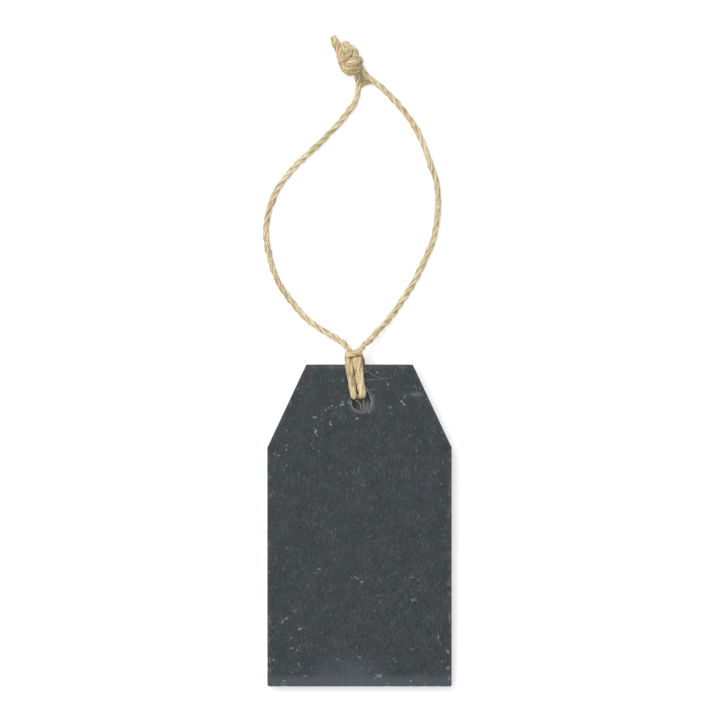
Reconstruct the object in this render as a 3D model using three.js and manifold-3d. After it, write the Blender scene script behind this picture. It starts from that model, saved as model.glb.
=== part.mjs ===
// Slate hanging tag, lying face up with its loop of jute twine laid out beside it.
// A drilled slate plate carries one length of doubled twine: the twine's middle is
// hitched through the hole and over the top edge, its two legs make the hanging loop,
// and its two ends are tied together in one overhand knot.
// Millimetres. +X runs across the tag, +Y from the tag towards its loop, and +Z out of
// the writing face. The origin lies on the table, under the middle of the plate.

import * as THREE from 'three';
import Module from 'manifold-3d';
import { mergeVertices } from 'three/addons/utils/BufferGeometryUtils.js';

const wasm = await Module();
wasm.setup();

// Slate plate
const plateWidth = 55;
const plateLength = 96;
const plateThickness = 4;
const topEdgeWidth = 31.8;
const clippedCornerDrop = 24.7;
const edgeEase = 0.3;
const holeDiameter = 6.3;
const holeFromTopEdge = 10.9;
const holeFromMiddle = 0.6;

// Twine: round where it hangs free, pressed flat and narrow where it is pulled tight
const twineDiameter = 1.8;
const pressedThickness = 1.5;
const frontStrandWidth = 2.15;
const backStrandWidth = 1.9;
const chokedWidth = 1;
const bandWidth = 2;
const bandThickness = 1.2;
const twineClearance = 0.4;
const strandGap = 0.5;
const twineSides = 8;

// Hitch: how it leans from the tag's middle line, and where its parts lie
const hitchLean = THREE.MathUtils.degToRad(9);
const pairLeanInHole = THREE.MathUtils.degToRad(38);
const bandAboveEdge = 3.3;
const legsUnderBand = 1.35;
const legThicknessUnderBand = 1.6;
const bandRoom = 0.7;
const hitchRingsPerStation = 2;
const ringsThatTouch = 8;

// Loop: where its legs leave the hitch, measured from the hole's middle, from the top
// edge and from the plate's middle plane
const foldFromHole = -1.975;
const foldAboveEdge = 6;
const foldAboveMiddle = 0.4;
const hitchStubStraight = 0.35;
const tableRoom = 0.03;
const legSteps = 28;

// Knot: squeezed strands, the pair's turn about its own middle line, how far past a leg's
// clearance a strand starts, and the runs that a strand is joined from
const knotStrandDiameter = 1.7;
const knotPairSpacing = 1.5;
const knotTurn = THREE.MathUtils.degToRad(160);
const knotCore = { across: 4, along: 6, deep: 3 };
const knotCoreCentre = [-1, 6, 3];
const knotRingsPerStation = 2;
const knotStandoff = 0.6;
const knotRunRings = 8;
const tuckedShare = 0.8;

const slateFinish = { color: 0x44494b, roughness: 0.78, metalness: 0 };
const juteFinish = { color: 0xd0bc88, roughness: 0.95, metalness: 0 };

function namedMesh(name, geometry, finish) {
  const mesh = new THREE.Mesh(geometry, new THREE.MeshStandardMaterial(finish));
  mesh.name = name;
  return mesh;
}

function toSolid(geometry) {
  const bare = geometry.clone();
  bare.deleteAttribute('normal');
  bare.deleteAttribute('uv');
  const merged = mergeVertices(bare, 1e-4);
  return new wasm.Manifold(new wasm.Mesh({
    numProp: 3,
    vertProperties: new Float32Array(merged.attributes.position.array),
    triVerts: new Uint32Array(merged.index.array),
  }));
}

// Joins closed meshes into one, and fills the hollows that they close off.

function join(geometries) {
  let whole = toSolid(geometries[0]);
  for (const geometry of geometries.slice(1)) {
    whole = whole.add(toSolid(geometry));
  }
  const [outerShell] = whole.decompose().sort((a, b) => b.volume() - a.volume());
  const mesh = outerShell.getMesh();
  const joined = new THREE.BufferGeometry();
  joined.setAttribute('position', new THREE.BufferAttribute(mesh.vertProperties, 3));
  joined.setIndex(new THREE.BufferAttribute(mesh.triVerts, 1));
  joined.computeVertexNormals();
  return joined;
}

// Slate plate: straight sides, square bottom corners, two clipped top corners, eased
// edges and a drilled hole.

function plateGeometry() {
  const halfWidth = plateWidth / 2;
  const halfLength = plateLength / 2;
  const halfTop = topEdgeWidth / 2;
  const rightSide = [
    [halfWidth, -halfLength],
    [halfWidth, halfLength - clippedCornerDrop],
    [halfTop, halfLength],
  ];
  const leftSide = rightSide.map(([x, y]) => [-x, y]).reverse();
  const outline = new THREE.Shape([...rightSide, ...leftSide].map(([x, y]) => new THREE.Vector2(x, y)));
  const hole = new THREE.Path();
  hole.absarc(holeFromMiddle, halfLength - holeFromTopEdge, holeDiameter / 2, 0, 2 * Math.PI, true);
  outline.holes.push(hole);
  const geometry = new THREE.ExtrudeGeometry(outline, {
    depth: plateThickness - 2 * edgeEase,
    bevelEnabled: true,
    bevelThickness: edgeEase,
    bevelSize: edgeEase,
    bevelOffset: -edgeEase,
    bevelSegments: 1,
    curveSegments: 12,
  });
  geometry.translate(0, 0, edgeEase - plateThickness / 2);
  return geometry;
}

// A strand whose section changes along its way. A station is [x, y, z, side, deep]: a
// point on the middle line, then the section's size along the strand's side direction
// and square to it, from flat to flat. The side direction starts as firstSide and turns
// with the strand.

function strandRings(stations, firstSide, ringsPerStation, turn = 0) {
  const line = new THREE.CatmullRomCurve3(stations.map((s) => new THREE.Vector3(s[0], s[1], s[2])));
  const sizes = new THREE.CatmullRomCurve3(stations.map((s) => new THREE.Vector3(s[3], s[4], 0)));
  const last = (stations.length - 1) * ringsPerStation;
  const side = firstSide.clone();
  const rings = [];
  for (let i = 0; i <= last; i += 1) {
    const t = i / last;
    const tangent = line.getTangent(t);
    side.addScaledVector(tangent, -side.dot(tangent)).normalize();
    const turned = side.clone().applyAxisAngle(tangent, turn * t);
    const size = sizes.getPoint(t);
    rings.push({
      centre: line.getPoint(t),
      side: turned,
      deep: new THREE.Vector3().crossVectors(tangent, turned),
      halfSide: size.x / 2,
      halfDeep: size.y / 2,
    });
  }
  return rings;
}

function ringPoint(ring, corner) {
  const step = (2 * Math.PI) / twineSides;
  const angle = step * (corner + 0.5);
  const toCorner = 1 / Math.cos(step / 2);
  return ring.centre.clone()
    .addScaledVector(ring.side, ring.halfSide * toCorner * Math.cos(angle))
    .addScaledVector(ring.deep, ring.halfDeep * toCorner * Math.sin(angle));
}

function sweptStrand(rings) {
  const positions = [];
  const faces = [];
  for (const ring of rings) {
    for (let corner = 0; corner < twineSides; corner += 1) {
      positions.push(...ringPoint(ring, corner).toArray());
    }
  }
  for (let i = 0; i + 1 < rings.length; i += 1) {
    for (let corner = 0; corner < twineSides; corner += 1) {
      const next = (corner + 1) % twineSides;
      const a = i * twineSides + corner;
      const b = i * twineSides + next;
      faces.push(a, b, b + twineSides);
      faces.push(a, b + twineSides, a + twineSides);
    }
  }
  const top = (rings.length - 1) * twineSides;
  for (let corner = 1; corner + 1 < twineSides; corner += 1) {
    faces.push(0, corner + 1, corner);
    faces.push(top, top + corner, top + corner + 1);
  }
  const geometry = new THREE.BufferGeometry();
  geometry.setAttribute('position', new THREE.Float32BufferAttribute(positions, 3));
  geometry.setIndex(faces);
  geometry.computeVertexNormals();
  return geometry;
}

// The least distance between two points of the strand's surface that lie at least
// ringsThatTouch rings apart along it.

function leastGap(rings) {
  let least = Infinity;
  for (let i = 0; i < rings.length; i += 1) {
    for (let j = i + ringsThatTouch; j < rings.length; j += 1) {
      if (rings[i].centre.distanceTo(rings[j].centre) > 2 * twineDiameter + least) continue;
      for (let a = 0; a < twineSides; a += 1) {
        const point = ringPoint(rings[i], a);
        for (let b = 0; b < twineSides; b += 1) {
          least = Math.min(least, point.distanceTo(ringPoint(rings[j], b)));
        }
      }
    }
  }
  return least;
}

// Hanging loop: both legs leave the hitch on one level line, the fold line, and come
// down to the table. A route point is [x, y, share of the fold line's height].

const leftLegRoute = [
  [-2.9, 0, 1], [-5.3, 1.65, 0.72], [-9.7, 4.3, 0.32], [-14.6, 7.9, 0.07], [-19.3, 13.3, 0.01],
  [-23.3, 19.5, 0], [-25.8, 27.6, 0], [-26.5, 33, 0], [-25.9, 39.3, 0], [-23.1, 46.4, 0],
  [-17.5, 53.6, 0], [-9.8, 60.8, 0], [-3.9, 67.1, 0], [-0.6, 71.5, 0], [0.8, 75.1, 0],
  [0.9, 79.5, 0],
];
const rightLegRoute = [
  [2.9, 0, 1], [5, 1.7, 0.72], [7, 4.3, 0.42], [9.6, 7, 0.18], [13.5, 12.4, 0.02],
  [17.5, 18.6, 0], [21.5, 26.7, 0], [23.6, 32.1, 0], [24.8, 42, 0], [24.2, 49.1, 0],
  [22.6, 53.6, 0], [20, 60.8, 0], [17.1, 66.2, 0], [13, 71.5, 0], [8.7, 76, 0],
  [5.1, 78.9, 0], [3.1, 80.6, 0],
];

function legPoints(route, foldHeight) {
  const onTable = twineDiameter / 2 + tableRoom;
  return route.map(([x, y, share]) => new THREE.Vector3(x, y, onTable + (foldHeight - onTable) * share));
}

function legGeometry(points) {
  const section = [];
  for (let corner = 0; corner < twineSides; corner += 1) {
    const angle = (2 * Math.PI * corner) / twineSides;
    section.push(new THREE.Vector2(Math.cos(angle), Math.sin(angle)).multiplyScalar(twineDiameter / 2));
  }
  const tube = new THREE.ExtrudeGeometry(new THREE.Shape(section), {
    extrudePath: new THREE.CatmullRomCurve3(points),
    steps: legSteps,
  });
  const ends = [points[0], points[points.length - 1]].map((end) => {
    const ball = new THREE.SphereGeometry(twineDiameter / 2, twineSides, twineSides - 2);
    return ball.translate(end.x, end.y, end.z);
  });
  return join([tube, ...ends]);
}

// The last two points of a stretch that ends short of a leg's round end, in line
// with the leg.

function stubBefore(leg, straight) {
  const direction = new THREE.Vector3().subVectors(leg[0], leg[1]).normalize();
  const reach = twineDiameter / 2 + twineClearance;
  return [0, straight].map((more) => leg[0].clone().addScaledVector(direction, reach + more));
}

// Hitch, in its own frame: x across the hitch, y up the tag from the hole's centre,
// z out of the plate's middle plane. The route runs from the left leg under the band,
// down the front and through the hole, up the back, round the side and over both legs
// as the band, and the same way back to the right leg. The two strands keep the gap of
// strandGap between them, and their shared middle line is given for each station.

const face = plateThickness / 2 + twineClearance + pressedThickness / 2;
const edge = holeFromTopEdge / Math.cos(hitchLean);

function pairInHole() {
  const reach = holeDiameter / 2 - twineClearance - pressedThickness / 2;
  const half = (pressedThickness + strandGap) / 2;
  const lean = half * Math.sin(pairLeanInHole);
  const out = Math.sqrt(lean ** 2 + reach ** 2 - half ** 2) - lean;
  return { middle: -out * Math.sin(pairLeanInHole), up: out * Math.cos(pairLeanInHole) };
}

function hitchHalf(side, stub) {
  const { middle, up } = pairInHole();
  const band = edge + bandAboveEdge;
  const under = face - legsUnderBand;
  const over = under + (legThicknessUnderBand + bandThickness) / 2 + bandRoom;
  const ring = 1.5 * strandGap + chokedWidth + bandThickness / 2;
  const deep = pressedThickness;
  const along = (share) => THREE.MathUtils.lerp(up, edge, share);
  const strand = (pairMiddle, y, z, width, thickness = deep) => (
    [pairMiddle + (side * (width + strandGap)) / 2, y, z, width, thickness]);
  return [
    [...stub[0].toArray(), twineDiameter, twineDiameter],
    [...stub[1].toArray(), deep, 1.65],
    strand(0.1, band + 1.1, under - 0.3, 1.25, legThicknessUnderBand),
    strand(0, band, under, chokedWidth, legThicknessUnderBand),
    strand(0, band - 1.05, under + 0.4, chokedWidth, legThicknessUnderBand),
    strand(-0.08, edge + 1.2, face - 0.45, deep),
    strand(-0.2, edge + 0.4, face - 0.05, 2),
    strand(-0.4, along(0.85), face, frontStrandWidth),
    strand(-0.6, along(0.55), face, frontStrandWidth),
    strand(middle + 0.06, along(0.32), face, 2),
    strand(middle - 0.02, up + 1.8, face, 1.75),
    strand(middle, up + 0.95, face - 0.2, deep),
    strand(middle, up + 0.3, face - 0.6, deep),
    strand(middle, up + 0.05, face - 1.2, deep),
    strand(middle, up, 0, deep),
    strand(middle, up + 0.05, 1.2 - face, deep),
    strand(middle, up + 0.3, 0.6 - face, deep),
    strand(middle, up + 0.95, 0.2 - face, deep),
    strand(middle, up + 1.8, -face, 1.7),
    strand(middle + 0.12, along(0.34), -face, backStrandWidth),
    strand(-0.5 + 0.2 * side, along(0.6), -face, backStrandWidth),
    [side * 1.85 - 0.15, along(0.86), -face, 1.75, deep],
    [side * 2.18, edge + 0.65, 0.02 - face, deep, deep],
    [side * ring, edge + 1.95, 1.25 - face, bandThickness, deep],
    [side * ring, edge + 2.5, 0, bandThickness, deep],
    [side * ring, band - 0.45, under + 0.15, bandThickness, 1.65],
    [side * (ring - 0.2), band - 0.2, over - 0.55, bandThickness, 1.8],
    [side * 1.2, band, over - 0.05, bandThickness, bandWidth],
  ];
}

function hitchStations(leftStub, rightStub) {
  const left = hitchHalf(-1, leftStub);
  const right = hitchHalf(1, rightStub);
  const [, bandHeight, bandRise] = left[left.length - 1];
  const crown = [0, bandHeight, bandRise + 0.05, bandThickness, bandWidth];
  return [...left, crown, ...right.reverse()];
}

// Knot, in its own frame: x across, y along the knot towards the cut tails, z up from
// the table. The route is the middle line of the pair of strands, an overhand knot:
// up through the middle, round the back, down across the front, round the bottom and
// up through the middle again to the tails.

const knotRoute = [
  [-0.1, 2, 1.5], [-0.4, 3.2, 2.4], [-1, 4.4, 2.9], [-1.6, 6, 2.1], [-1.2, 7.8, 1.6],
  [0, 9.2, 1.7], [0.9, 9.9, 2.7], [1, 9.2, 4.1], [-0.2, 8, 4.9], [-1.9, 7.1, 4.9],
  [-3.3, 5.9, 4.4], [-4, 4.5, 3.3], [-3.5, 3.3, 2.1], [-1.8, 2.9, 1.5], [0.3, 3.6, 1.45],
  [1.5, 5.1, 1.9], [1.1, 7, 2.7], [-0.4, 8.7, 3.1], [-1.5, 10.3, 3.1], [-2, 12, 2.8],
  [-2.2, 13.7, 2.4],
];

// Each strand is cut into short runs that don't meet themselves, so that joining them
// makes one surface where the strand touches itself. A run's ends taper into the runs
// next to it.

function tucked(ring) {
  return { ...ring, halfSide: ring.halfSide * tuckedShare, halfDeep: ring.halfDeep * tuckedShare };
}

function knotStrands(starts) {
  const across = new THREE.Vector3(1, 0, 0);
  const middle = knotRoute.map((point) => [...point, 0, 0]);
  const pair = strandRings(middle, across, knotRingsPerStation, knotTurn);
  return [-1, 1].flatMap((hand, which) => {
    const strand = pair.slice(knotRingsPerStation).map((ring) => ring.centre.clone()
      .addScaledVector(ring.side, (hand * knotPairSpacing) / 2));
    const stations = [starts[which], ...strand]
      .map((point) => [...point.toArray(), knotStrandDiameter, knotStrandDiameter]);
    const rings = strandRings(stations, across, knotRingsPerStation);
    const runs = [];
    for (let start = 0; start + 1 < rings.length; start += knotRunRings) {
      const end = start + knotRunRings + 1;
      const before = rings.slice(Math.max(start - 1, 0), start).map(tucked);
      const after = rings.slice(end, end + 1).map(tucked);
      runs.push(sweptStrand([...before, ...rings.slice(start, end), ...after]));
    }
    return runs;
  });
}

function knotGeometry(starts) {
  const core = new THREE.SphereGeometry(0.5, 12, 8);
  core.scale(knotCore.across, knotCore.along, knotCore.deep);
  core.translate(...knotCoreCentre);
  return join([core, ...knotStrands(starts)]);
}

// Assembly. The back strands lie between the plate and the table, so the plate rests
// on its bottom edge and on them, and leans by a little over a degree.

const strandRise = twineClearance + pressedThickness;
const restSpan = plateLength - edgeEase - holeFromTopEdge + pairInHole().up;
const plateLean = Math.atan2(strandRise, restSpan);
const plateLift = (plateThickness / 2) * Math.cos(plateLean)
  + (plateLength / 2 - edgeEase) * Math.sin(plateLean);
const foldFromMiddle = plateLength / 2 + foldAboveEdge;
const foldHeight = plateLift + foldFromMiddle * Math.sin(plateLean) + foldAboveMiddle;

const plate = new THREE.Group();
plate.position.set(0, 0, plateLift);
plate.rotation.x = plateLean;
plate.add(namedMesh('slate_tag', plateGeometry(), slateFinish));

const hitch = new THREE.Group();
hitch.position.set(holeFromMiddle, plateLength / 2 - holeFromTopEdge, 0);
hitch.rotation.z = hitchLean;
plate.add(hitch);

const loop = new THREE.Group();
loop.position.set(holeFromMiddle + foldFromHole, foldFromMiddle, 0);

const tag = new THREE.Group();
tag.add(plate, loop);
tag.updateMatrixWorld(true);

const legs = [leftLegRoute, rightLegRoute].map((route) => legPoints(route, foldHeight));

function stubsIn(group, points, straight) {
  return stubBefore(points, straight).map((point) => group.worldToLocal(loop.localToWorld(point)));
}

const hitchStubs = legs.map((points) => stubsIn(hitch, points, hitchStubStraight));
const hitchRings = strandRings(
  hitchStations(...hitchStubs),
  new THREE.Vector3(1, 0, 0),
  hitchRingsPerStation,
);
console.log('least gap of the hitch to itself', leastGap(hitchRings).toFixed(2), 'mm');
hitch.add(namedMesh('twine_hitch', sweptStrand(hitchRings), juteFinish));

loop.add(namedMesh('twine_leg_left', legGeometry(legs[0]), juteFinish));
loop.add(namedMesh('twine_leg_right', legGeometry(legs[1]), juteFinish));

const [leftTop, rightTop] = legs.map((points) => points[points.length - 1]);
const knot = new THREE.Group();
knot.position.set((leftTop.x + rightTop.x) / 2, (leftTop.y + rightTop.y) / 2, 0);
knot.rotation.z = Math.atan2(rightTop.y - leftTop.y, rightTop.x - leftTop.x);
loop.add(knot);
loop.updateMatrixWorld(true);
const knotStarts = legs.map((points) => stubsIn(knot, [...points].reverse(), knotStandoff)[1]);
knot.add(namedMesh('end_knot', knotGeometry(knotStarts), juteFinish));

export default tag;
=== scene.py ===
"""Slate hanging tag on a loop of jute twine: the looks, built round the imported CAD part.

The CAD frame is loaded first. The twine is one length of doubled three-ply jute, laid
along the CAD part's own routes, and cut where its stretches ride on different bodies.
The slate is a riven plate with a drilled hole and chipped edges. Sizes are given in
millimetres and turned to metres where a mesh is made.
"""

import logging
import math
from dataclasses import dataclass, field
from enum import Enum
from itertools import product
from typing import NamedTuple

import bpy
import numpy as np
from bpy.types import Material, Mesh, Node, NodeSocket, NodeTree, Object
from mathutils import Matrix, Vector, noise
from mathutils.geometry import delaunay_2d_cdt

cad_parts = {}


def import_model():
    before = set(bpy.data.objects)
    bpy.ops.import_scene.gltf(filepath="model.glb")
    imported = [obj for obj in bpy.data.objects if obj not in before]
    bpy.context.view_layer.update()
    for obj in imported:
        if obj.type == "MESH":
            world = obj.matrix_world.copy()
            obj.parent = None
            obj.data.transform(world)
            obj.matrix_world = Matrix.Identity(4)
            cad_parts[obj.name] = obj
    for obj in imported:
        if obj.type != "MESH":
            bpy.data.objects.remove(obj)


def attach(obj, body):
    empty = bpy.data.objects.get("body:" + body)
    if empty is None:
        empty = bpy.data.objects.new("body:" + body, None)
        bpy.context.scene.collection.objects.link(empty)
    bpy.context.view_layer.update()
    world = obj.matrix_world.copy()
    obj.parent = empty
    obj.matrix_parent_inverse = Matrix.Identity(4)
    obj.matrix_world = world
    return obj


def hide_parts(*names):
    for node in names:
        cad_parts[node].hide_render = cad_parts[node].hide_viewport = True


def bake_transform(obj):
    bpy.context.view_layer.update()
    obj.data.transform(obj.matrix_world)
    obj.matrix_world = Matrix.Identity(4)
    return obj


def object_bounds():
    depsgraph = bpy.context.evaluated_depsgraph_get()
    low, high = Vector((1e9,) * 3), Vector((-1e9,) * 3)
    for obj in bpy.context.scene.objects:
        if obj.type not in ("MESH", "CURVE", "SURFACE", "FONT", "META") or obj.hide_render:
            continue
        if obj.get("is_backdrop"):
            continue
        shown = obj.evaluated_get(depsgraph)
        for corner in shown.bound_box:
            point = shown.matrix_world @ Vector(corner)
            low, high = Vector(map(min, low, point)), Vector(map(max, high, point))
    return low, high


MM = 0.001
TURN = 2 * math.pi
Pair = tuple[float, float]
Triple = tuple[float, float, float]
Color = tuple[float, float, float, float]
log = logging.getLogger("slate_tag_scene")


class Body(str, Enum):
    """The CAD bodies that the pieces ride on."""

    TAG = "tag"
    HITCH = "hitch"
    LOOP = "loop"
    KNOT = "knot"


class Side(Enum):
    """The two halves of the doubled twine."""

    LEFT = -1
    RIGHT = 1


# Node trees


def linear(code: str) -> Color:
    """Turn an sRGB hex colour into linear RGBA.

    Args:
        code: Six hex digits with a leading hash.

    Returns:
        The linear colour, opaque.
    """
    channels = [int(code[i : i + 2], 16) / 255 for i in (1, 3, 5)]
    red, green, blue = (
        c / 12.92 if c <= 0.04045 else ((c + 0.055) / 1.055) ** 2.4 for c in channels
    )
    return (red, green, blue, 1.0)


class Pattern(NamedTuple):
    """A fractal noise. Its scale counts waves to the unit of its place."""

    scale: float
    detail: float
    rough: float = 0.5


@dataclass(frozen=True)
class Graph:
    """A node tree, with a short method for each kind of node that comes up often."""

    tree: NodeTree

    @classmethod
    def group(cls, name: str, inputs: dict[str, str]) -> "Graph":
        """Start a Geometry Nodes group that gives out fibres.

        Args:
            name: The group's name.
            inputs: The kind of each named input, Geometry or Float for example.

        Returns:
            The group's graph.
        """
        tree = bpy.data.node_groups.new(name, "GeometryNodeTree")
        for title, kind in inputs.items():
            tree.interface.new_socket(
                title, in_out="INPUT", socket_type=f"NodeSocket{kind}"
            )
        tree.interface.new_socket(
            "Fibres", in_out="OUTPUT", socket_type="NodeSocketGeometry"
        )
        return cls(tree)

    def add(self, kind: str, inputs: dict | None = None, **settings: str) -> Node:
        """Add one node.

        Args:
            kind: The node's type name.
            inputs: Per input name or index, an output socket to link or a plain value.
            **settings: Values for the node's own properties.

        Returns:
            The new node.
        """
        node = self.tree.nodes.new(kind)
        for name, value in settings.items():
            setattr(node, name, value)
        self.feed(node, inputs or {})
        return node

    def feed(self, node: Node, inputs: dict) -> None:
        """Link or set a node's inputs, which are given as for add."""
        for key, value in inputs.items():
            if isinstance(value, NodeSocket):
                self.tree.links.new(value, node.inputs[key])
            else:
                node.inputs[key].default_value = value

    def calc(
        self, operation: str, first: NodeSocket, second: NodeSocket | float
    ) -> NodeSocket:
        """Work out one number from two."""
        inputs = {0: first, 1: second}
        return self.add("ShaderNodeMath", inputs, operation=operation).outputs[0]

    def vector(
        self, operation: str, first: NodeSocket, second: NodeSocket | float | Triple
    ) -> NodeSocket:
        """Work out one vector from two, its scaled copy, or the distance of two."""
        inputs = {0: first, "Scale" if operation == "SCALE" else 1: second}
        node = self.add("ShaderNodeVectorMath", inputs, operation=operation)
        return node.outputs["Value" if operation == "DISTANCE" else 0]

    def total(self, *terms: tuple[NodeSocket, float]) -> NodeSocket:
        """Add up values, each times its weight."""
        weighed = [self.calc("MULTIPLY", value, weight) for value, weight in terms]
        out = weighed.pop()
        while weighed:
            out = self.calc("ADD", weighed.pop(), out)
        return out

    def noise(
        self, where: NodeSocket, pattern: Pattern, output: str = "Fac"
    ) -> NodeSocket:
        """Lay a noise over a place and return its value, or its Color."""
        return self.add("ShaderNodeTexNoise", {
            "Vector": where, "Scale": pattern.scale, "Detail": pattern.detail,
            "Roughness": pattern.rough,
        }).outputs[output]

    def stretch(self, where: NodeSocket, scale: Triple) -> NodeSocket:
        """Scale a place along each of its axes."""
        inputs = {"Vector": where, "Scale": scale}
        return self.add("ShaderNodeMapping", inputs).outputs["Vector"]

    def span(
        self, value: NodeSocket, source: Pair, target: tuple[float, float | NodeSocket],
        kind: str = "LINEAR",
    ) -> NodeSocket:
        """Map a value from one range to another, and hold it at the ends."""
        return self.add("ShaderNodeMapRange", {
            "Value": value, "From Min": source[0], "From Max": source[1],
            "To Min": target[0], "To Max": target[1],
        }, interpolation_type=kind).outputs["Result"]

    def read(self, name: str, output: str = "Fac") -> NodeSocket:
        """Read what the mesh keeps under a name."""
        return self.add("ShaderNodeAttribute", attribute_name=name).outputs[output]

    def ramp(self, value: NodeSocket, *stops: tuple[float, str]) -> NodeSocket:
        """Turn a value into a colour by three stops, each a place and sRGB hex."""
        node = self.add("ShaderNodeValToRGB", {"Fac": value})
        node.color_ramp.elements.new(1.0)
        for element, (place, code) in zip(node.color_ramp.elements, stops):
            element.position = place
            element.color = linear(code)
        return node.outputs["Color"]

    def layers(
        self, color: NodeSocket | Color, *layers: tuple[NodeSocket, str]
    ) -> NodeSocket:
        """Lay sRGB hex colours over one another, each by its share."""
        for share, over in layers:
            inputs = {"Factor": share, 6: color, 7: linear(over)}
            color = self.add("ShaderNodeMix", inputs, data_type="RGBA").outputs[2]
        return color

    def bump(self, strength: float, depth: float, height: NodeSocket) -> NodeSocket:
        """Turn a height into a normal. The depth is in millimetres."""
        return self.add("ShaderNodeBump", {
            "Strength": strength, "Distance": depth * MM, "Height": height,
        }).outputs["Normal"]


def new_material(name: str) -> tuple[Material, Graph, Node]:
    """Make an empty node material with its shader and output joined.

    Args:
        name: What the material is, and how its surface was made.

    Returns:
        The material, its graph and its Principled shader.
    """
    material = bpy.data.materials.new(name)
    material.use_nodes = True
    material.node_tree.nodes.clear()
    graph = Graph(material.node_tree)
    shader = graph.add("ShaderNodeBsdfPrincipled")
    graph.add("ShaderNodeOutputMaterial", {"Surface": shader.outputs["BSDF"]})
    return material, graph, shader


# Meshes and lines


def new_object(name: str, data: bpy.types.ID) -> Object:
    """Put a mesh, lamp or camera in the scene as an object at the origin."""
    made = bpy.data.objects.new(name, data)
    bpy.context.scene.collection.objects.link(made)
    return made


def mesh_from(name: str, points: np.ndarray, faces: list, smooth: bool = True) -> Mesh:
    """Make a mesh from millimetre points.

    Args:
        name: The mesh's name.
        points: One row of x, y and z per vertex, in millimetres.
        faces: Vertex indices of each face.
        smooth: Whether the faces are shaded smooth.

    Returns:
        The mesh, in metres.
    """
    mesh = bpy.data.meshes.new(name)
    mesh.from_pydata((np.asarray(points) * MM).tolist(), [], faces)
    mesh.update()
    mesh.polygons.foreach_set("use_smooth", [smooth] * len(mesh.polygons))
    return mesh


def store(mesh: Mesh, name: str, values: np.ndarray) -> None:
    """Keep one number or one row of three per vertex on a mesh, for its material."""
    values = np.asarray(values, np.float32)
    kind, key = ("FLOAT", "value") if values.ndim == 1 else ("FLOAT_VECTOR", "vector")
    mesh.attributes.new(name, kind, "POINT").data.foreach_set(key, values.ravel())


def turned(
    points: np.ndarray, angle: float, first: int = 0, second: int = 1
) -> np.ndarray:
    """Turn points by an angle, in the plane of two of their columns."""
    out = points.copy()
    c, s = math.cos(angle), math.sin(angle)
    out[:, first] = points[:, first] * c - points[:, second] * s
    out[:, second] = points[:, first] * s + points[:, second] * c
    return out


def eased(share: np.ndarray) -> np.ndarray:
    """Ease a share from 0 to 1 in and out."""
    return share * share * (3 - 2 * share)


def smooth_noise(rng: np.random.Generator, along: np.ndarray, wave: float) -> np.ndarray:
    """Make a smooth random number along a line, from -1 to 1.

    Args:
        rng: The seeded source.
        along: Distances along the line.
        wave: How far apart the random values are.

    Returns:
        One value per distance.
    """
    knots = np.arange(along.min() - 2 * wave, along.max() + 3 * wave, wave)
    values = rng.uniform(-1, 1, len(knots))
    place = (along - knots[0]) / wave
    low = np.floor(place).astype(int)
    ease = eased(place - low)
    return values[low] * (1 - ease) + values[low + 1] * ease


def curve_through(stations: np.ndarray, steps: int) -> tuple[np.ndarray, np.ndarray]:
    """Run a centripetal Catmull-Rom curve through stations, as the CAD part does.

    Args:
        stations: One row per station. The first three numbers are its place.
        steps: How many samples each span gets.

    Returns:
        The samples, with all of a station's numbers, and each sample's station index.
    """
    least = 1e-4
    ends = np.vstack([
        2 * stations[0] - stations[1], stations, 2 * stations[-1] - stations[-2],
    ])
    out, places = [], []
    for i in range(len(stations) - 1):
        p0, p1, p2, p3 = ends[i : i + 4]
        d0, d1, d2 = (
            max(float(np.linalg.norm((b - a)[:3])), least) ** 0.5
            for a, b in ((p0, p1), (p1, p2), (p2, p3))
        )
        t1 = ((p1 - p0) / d0 - (p2 - p0) / (d0 + d1) + (p2 - p1) / d1) * d1
        t2 = ((p2 - p1) / d1 - (p3 - p1) / (d1 + d2) + (p3 - p2) / d2) * d1
        t = np.arange(steps)[:, None] / steps
        c2 = -3 * p1 + 3 * p2 - 2 * t1 - t2
        c3 = 2 * p1 - 2 * p2 + t1 + t2
        span = p1 + t1 * t + c2 * t**2 + c3 * t**3
        # A section's size never swings past the sizes on either side of it.
        span[:, 3:] = np.clip(
            span[:, 3:], np.minimum(p1, p2)[3:], np.maximum(p1, p2)[3:],
        )
        out.append(span)
        places.append(i + t[:, 0])
    out.append(stations[-1:])
    places.append(np.array([len(stations) - 1.0]))
    return np.vstack(out), np.concatenate(places)


def directions(points: np.ndarray) -> np.ndarray:
    """Give the unit direction of a line at each of its points."""
    way = np.gradient(points, axis=0)
    return way / np.linalg.norm(way, axis=1)[:, None]


def carried_sides(way: np.ndarray, start: int, side: np.ndarray) -> np.ndarray:
    """Carry a side direction along a line without turning it about the line.

    Args:
        way: The line's unit directions.
        start: The point where the side is known.
        side: The side direction there.

    Returns:
        One unit side direction per point.
    """
    out = np.zeros_like(way)
    for order in (range(start, len(way)), range(start, -1, -1)):
        now = np.array(side, float)
        for i in order:
            now = now - now.dot(way[i]) * way[i]
            now /= np.linalg.norm(now)
            out[i] = now
    return out


@dataclass(frozen=True)
class Seat:
    """How the slate lies on the table, leaning on the strands of twine behind it."""

    hole: Pair = (0.6, 37.1)
    hole_radius: float = 3.15
    lean: float = 0.022151
    lift: float = 3.056

    def place(self, points: np.ndarray) -> np.ndarray:
        """Turn points of the slate's frame into the row frame."""
        return turned(points, self.lean, 1, 2) + np.array([0, 0, self.lift])


SEAT = Seat()


# Finishes


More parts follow.
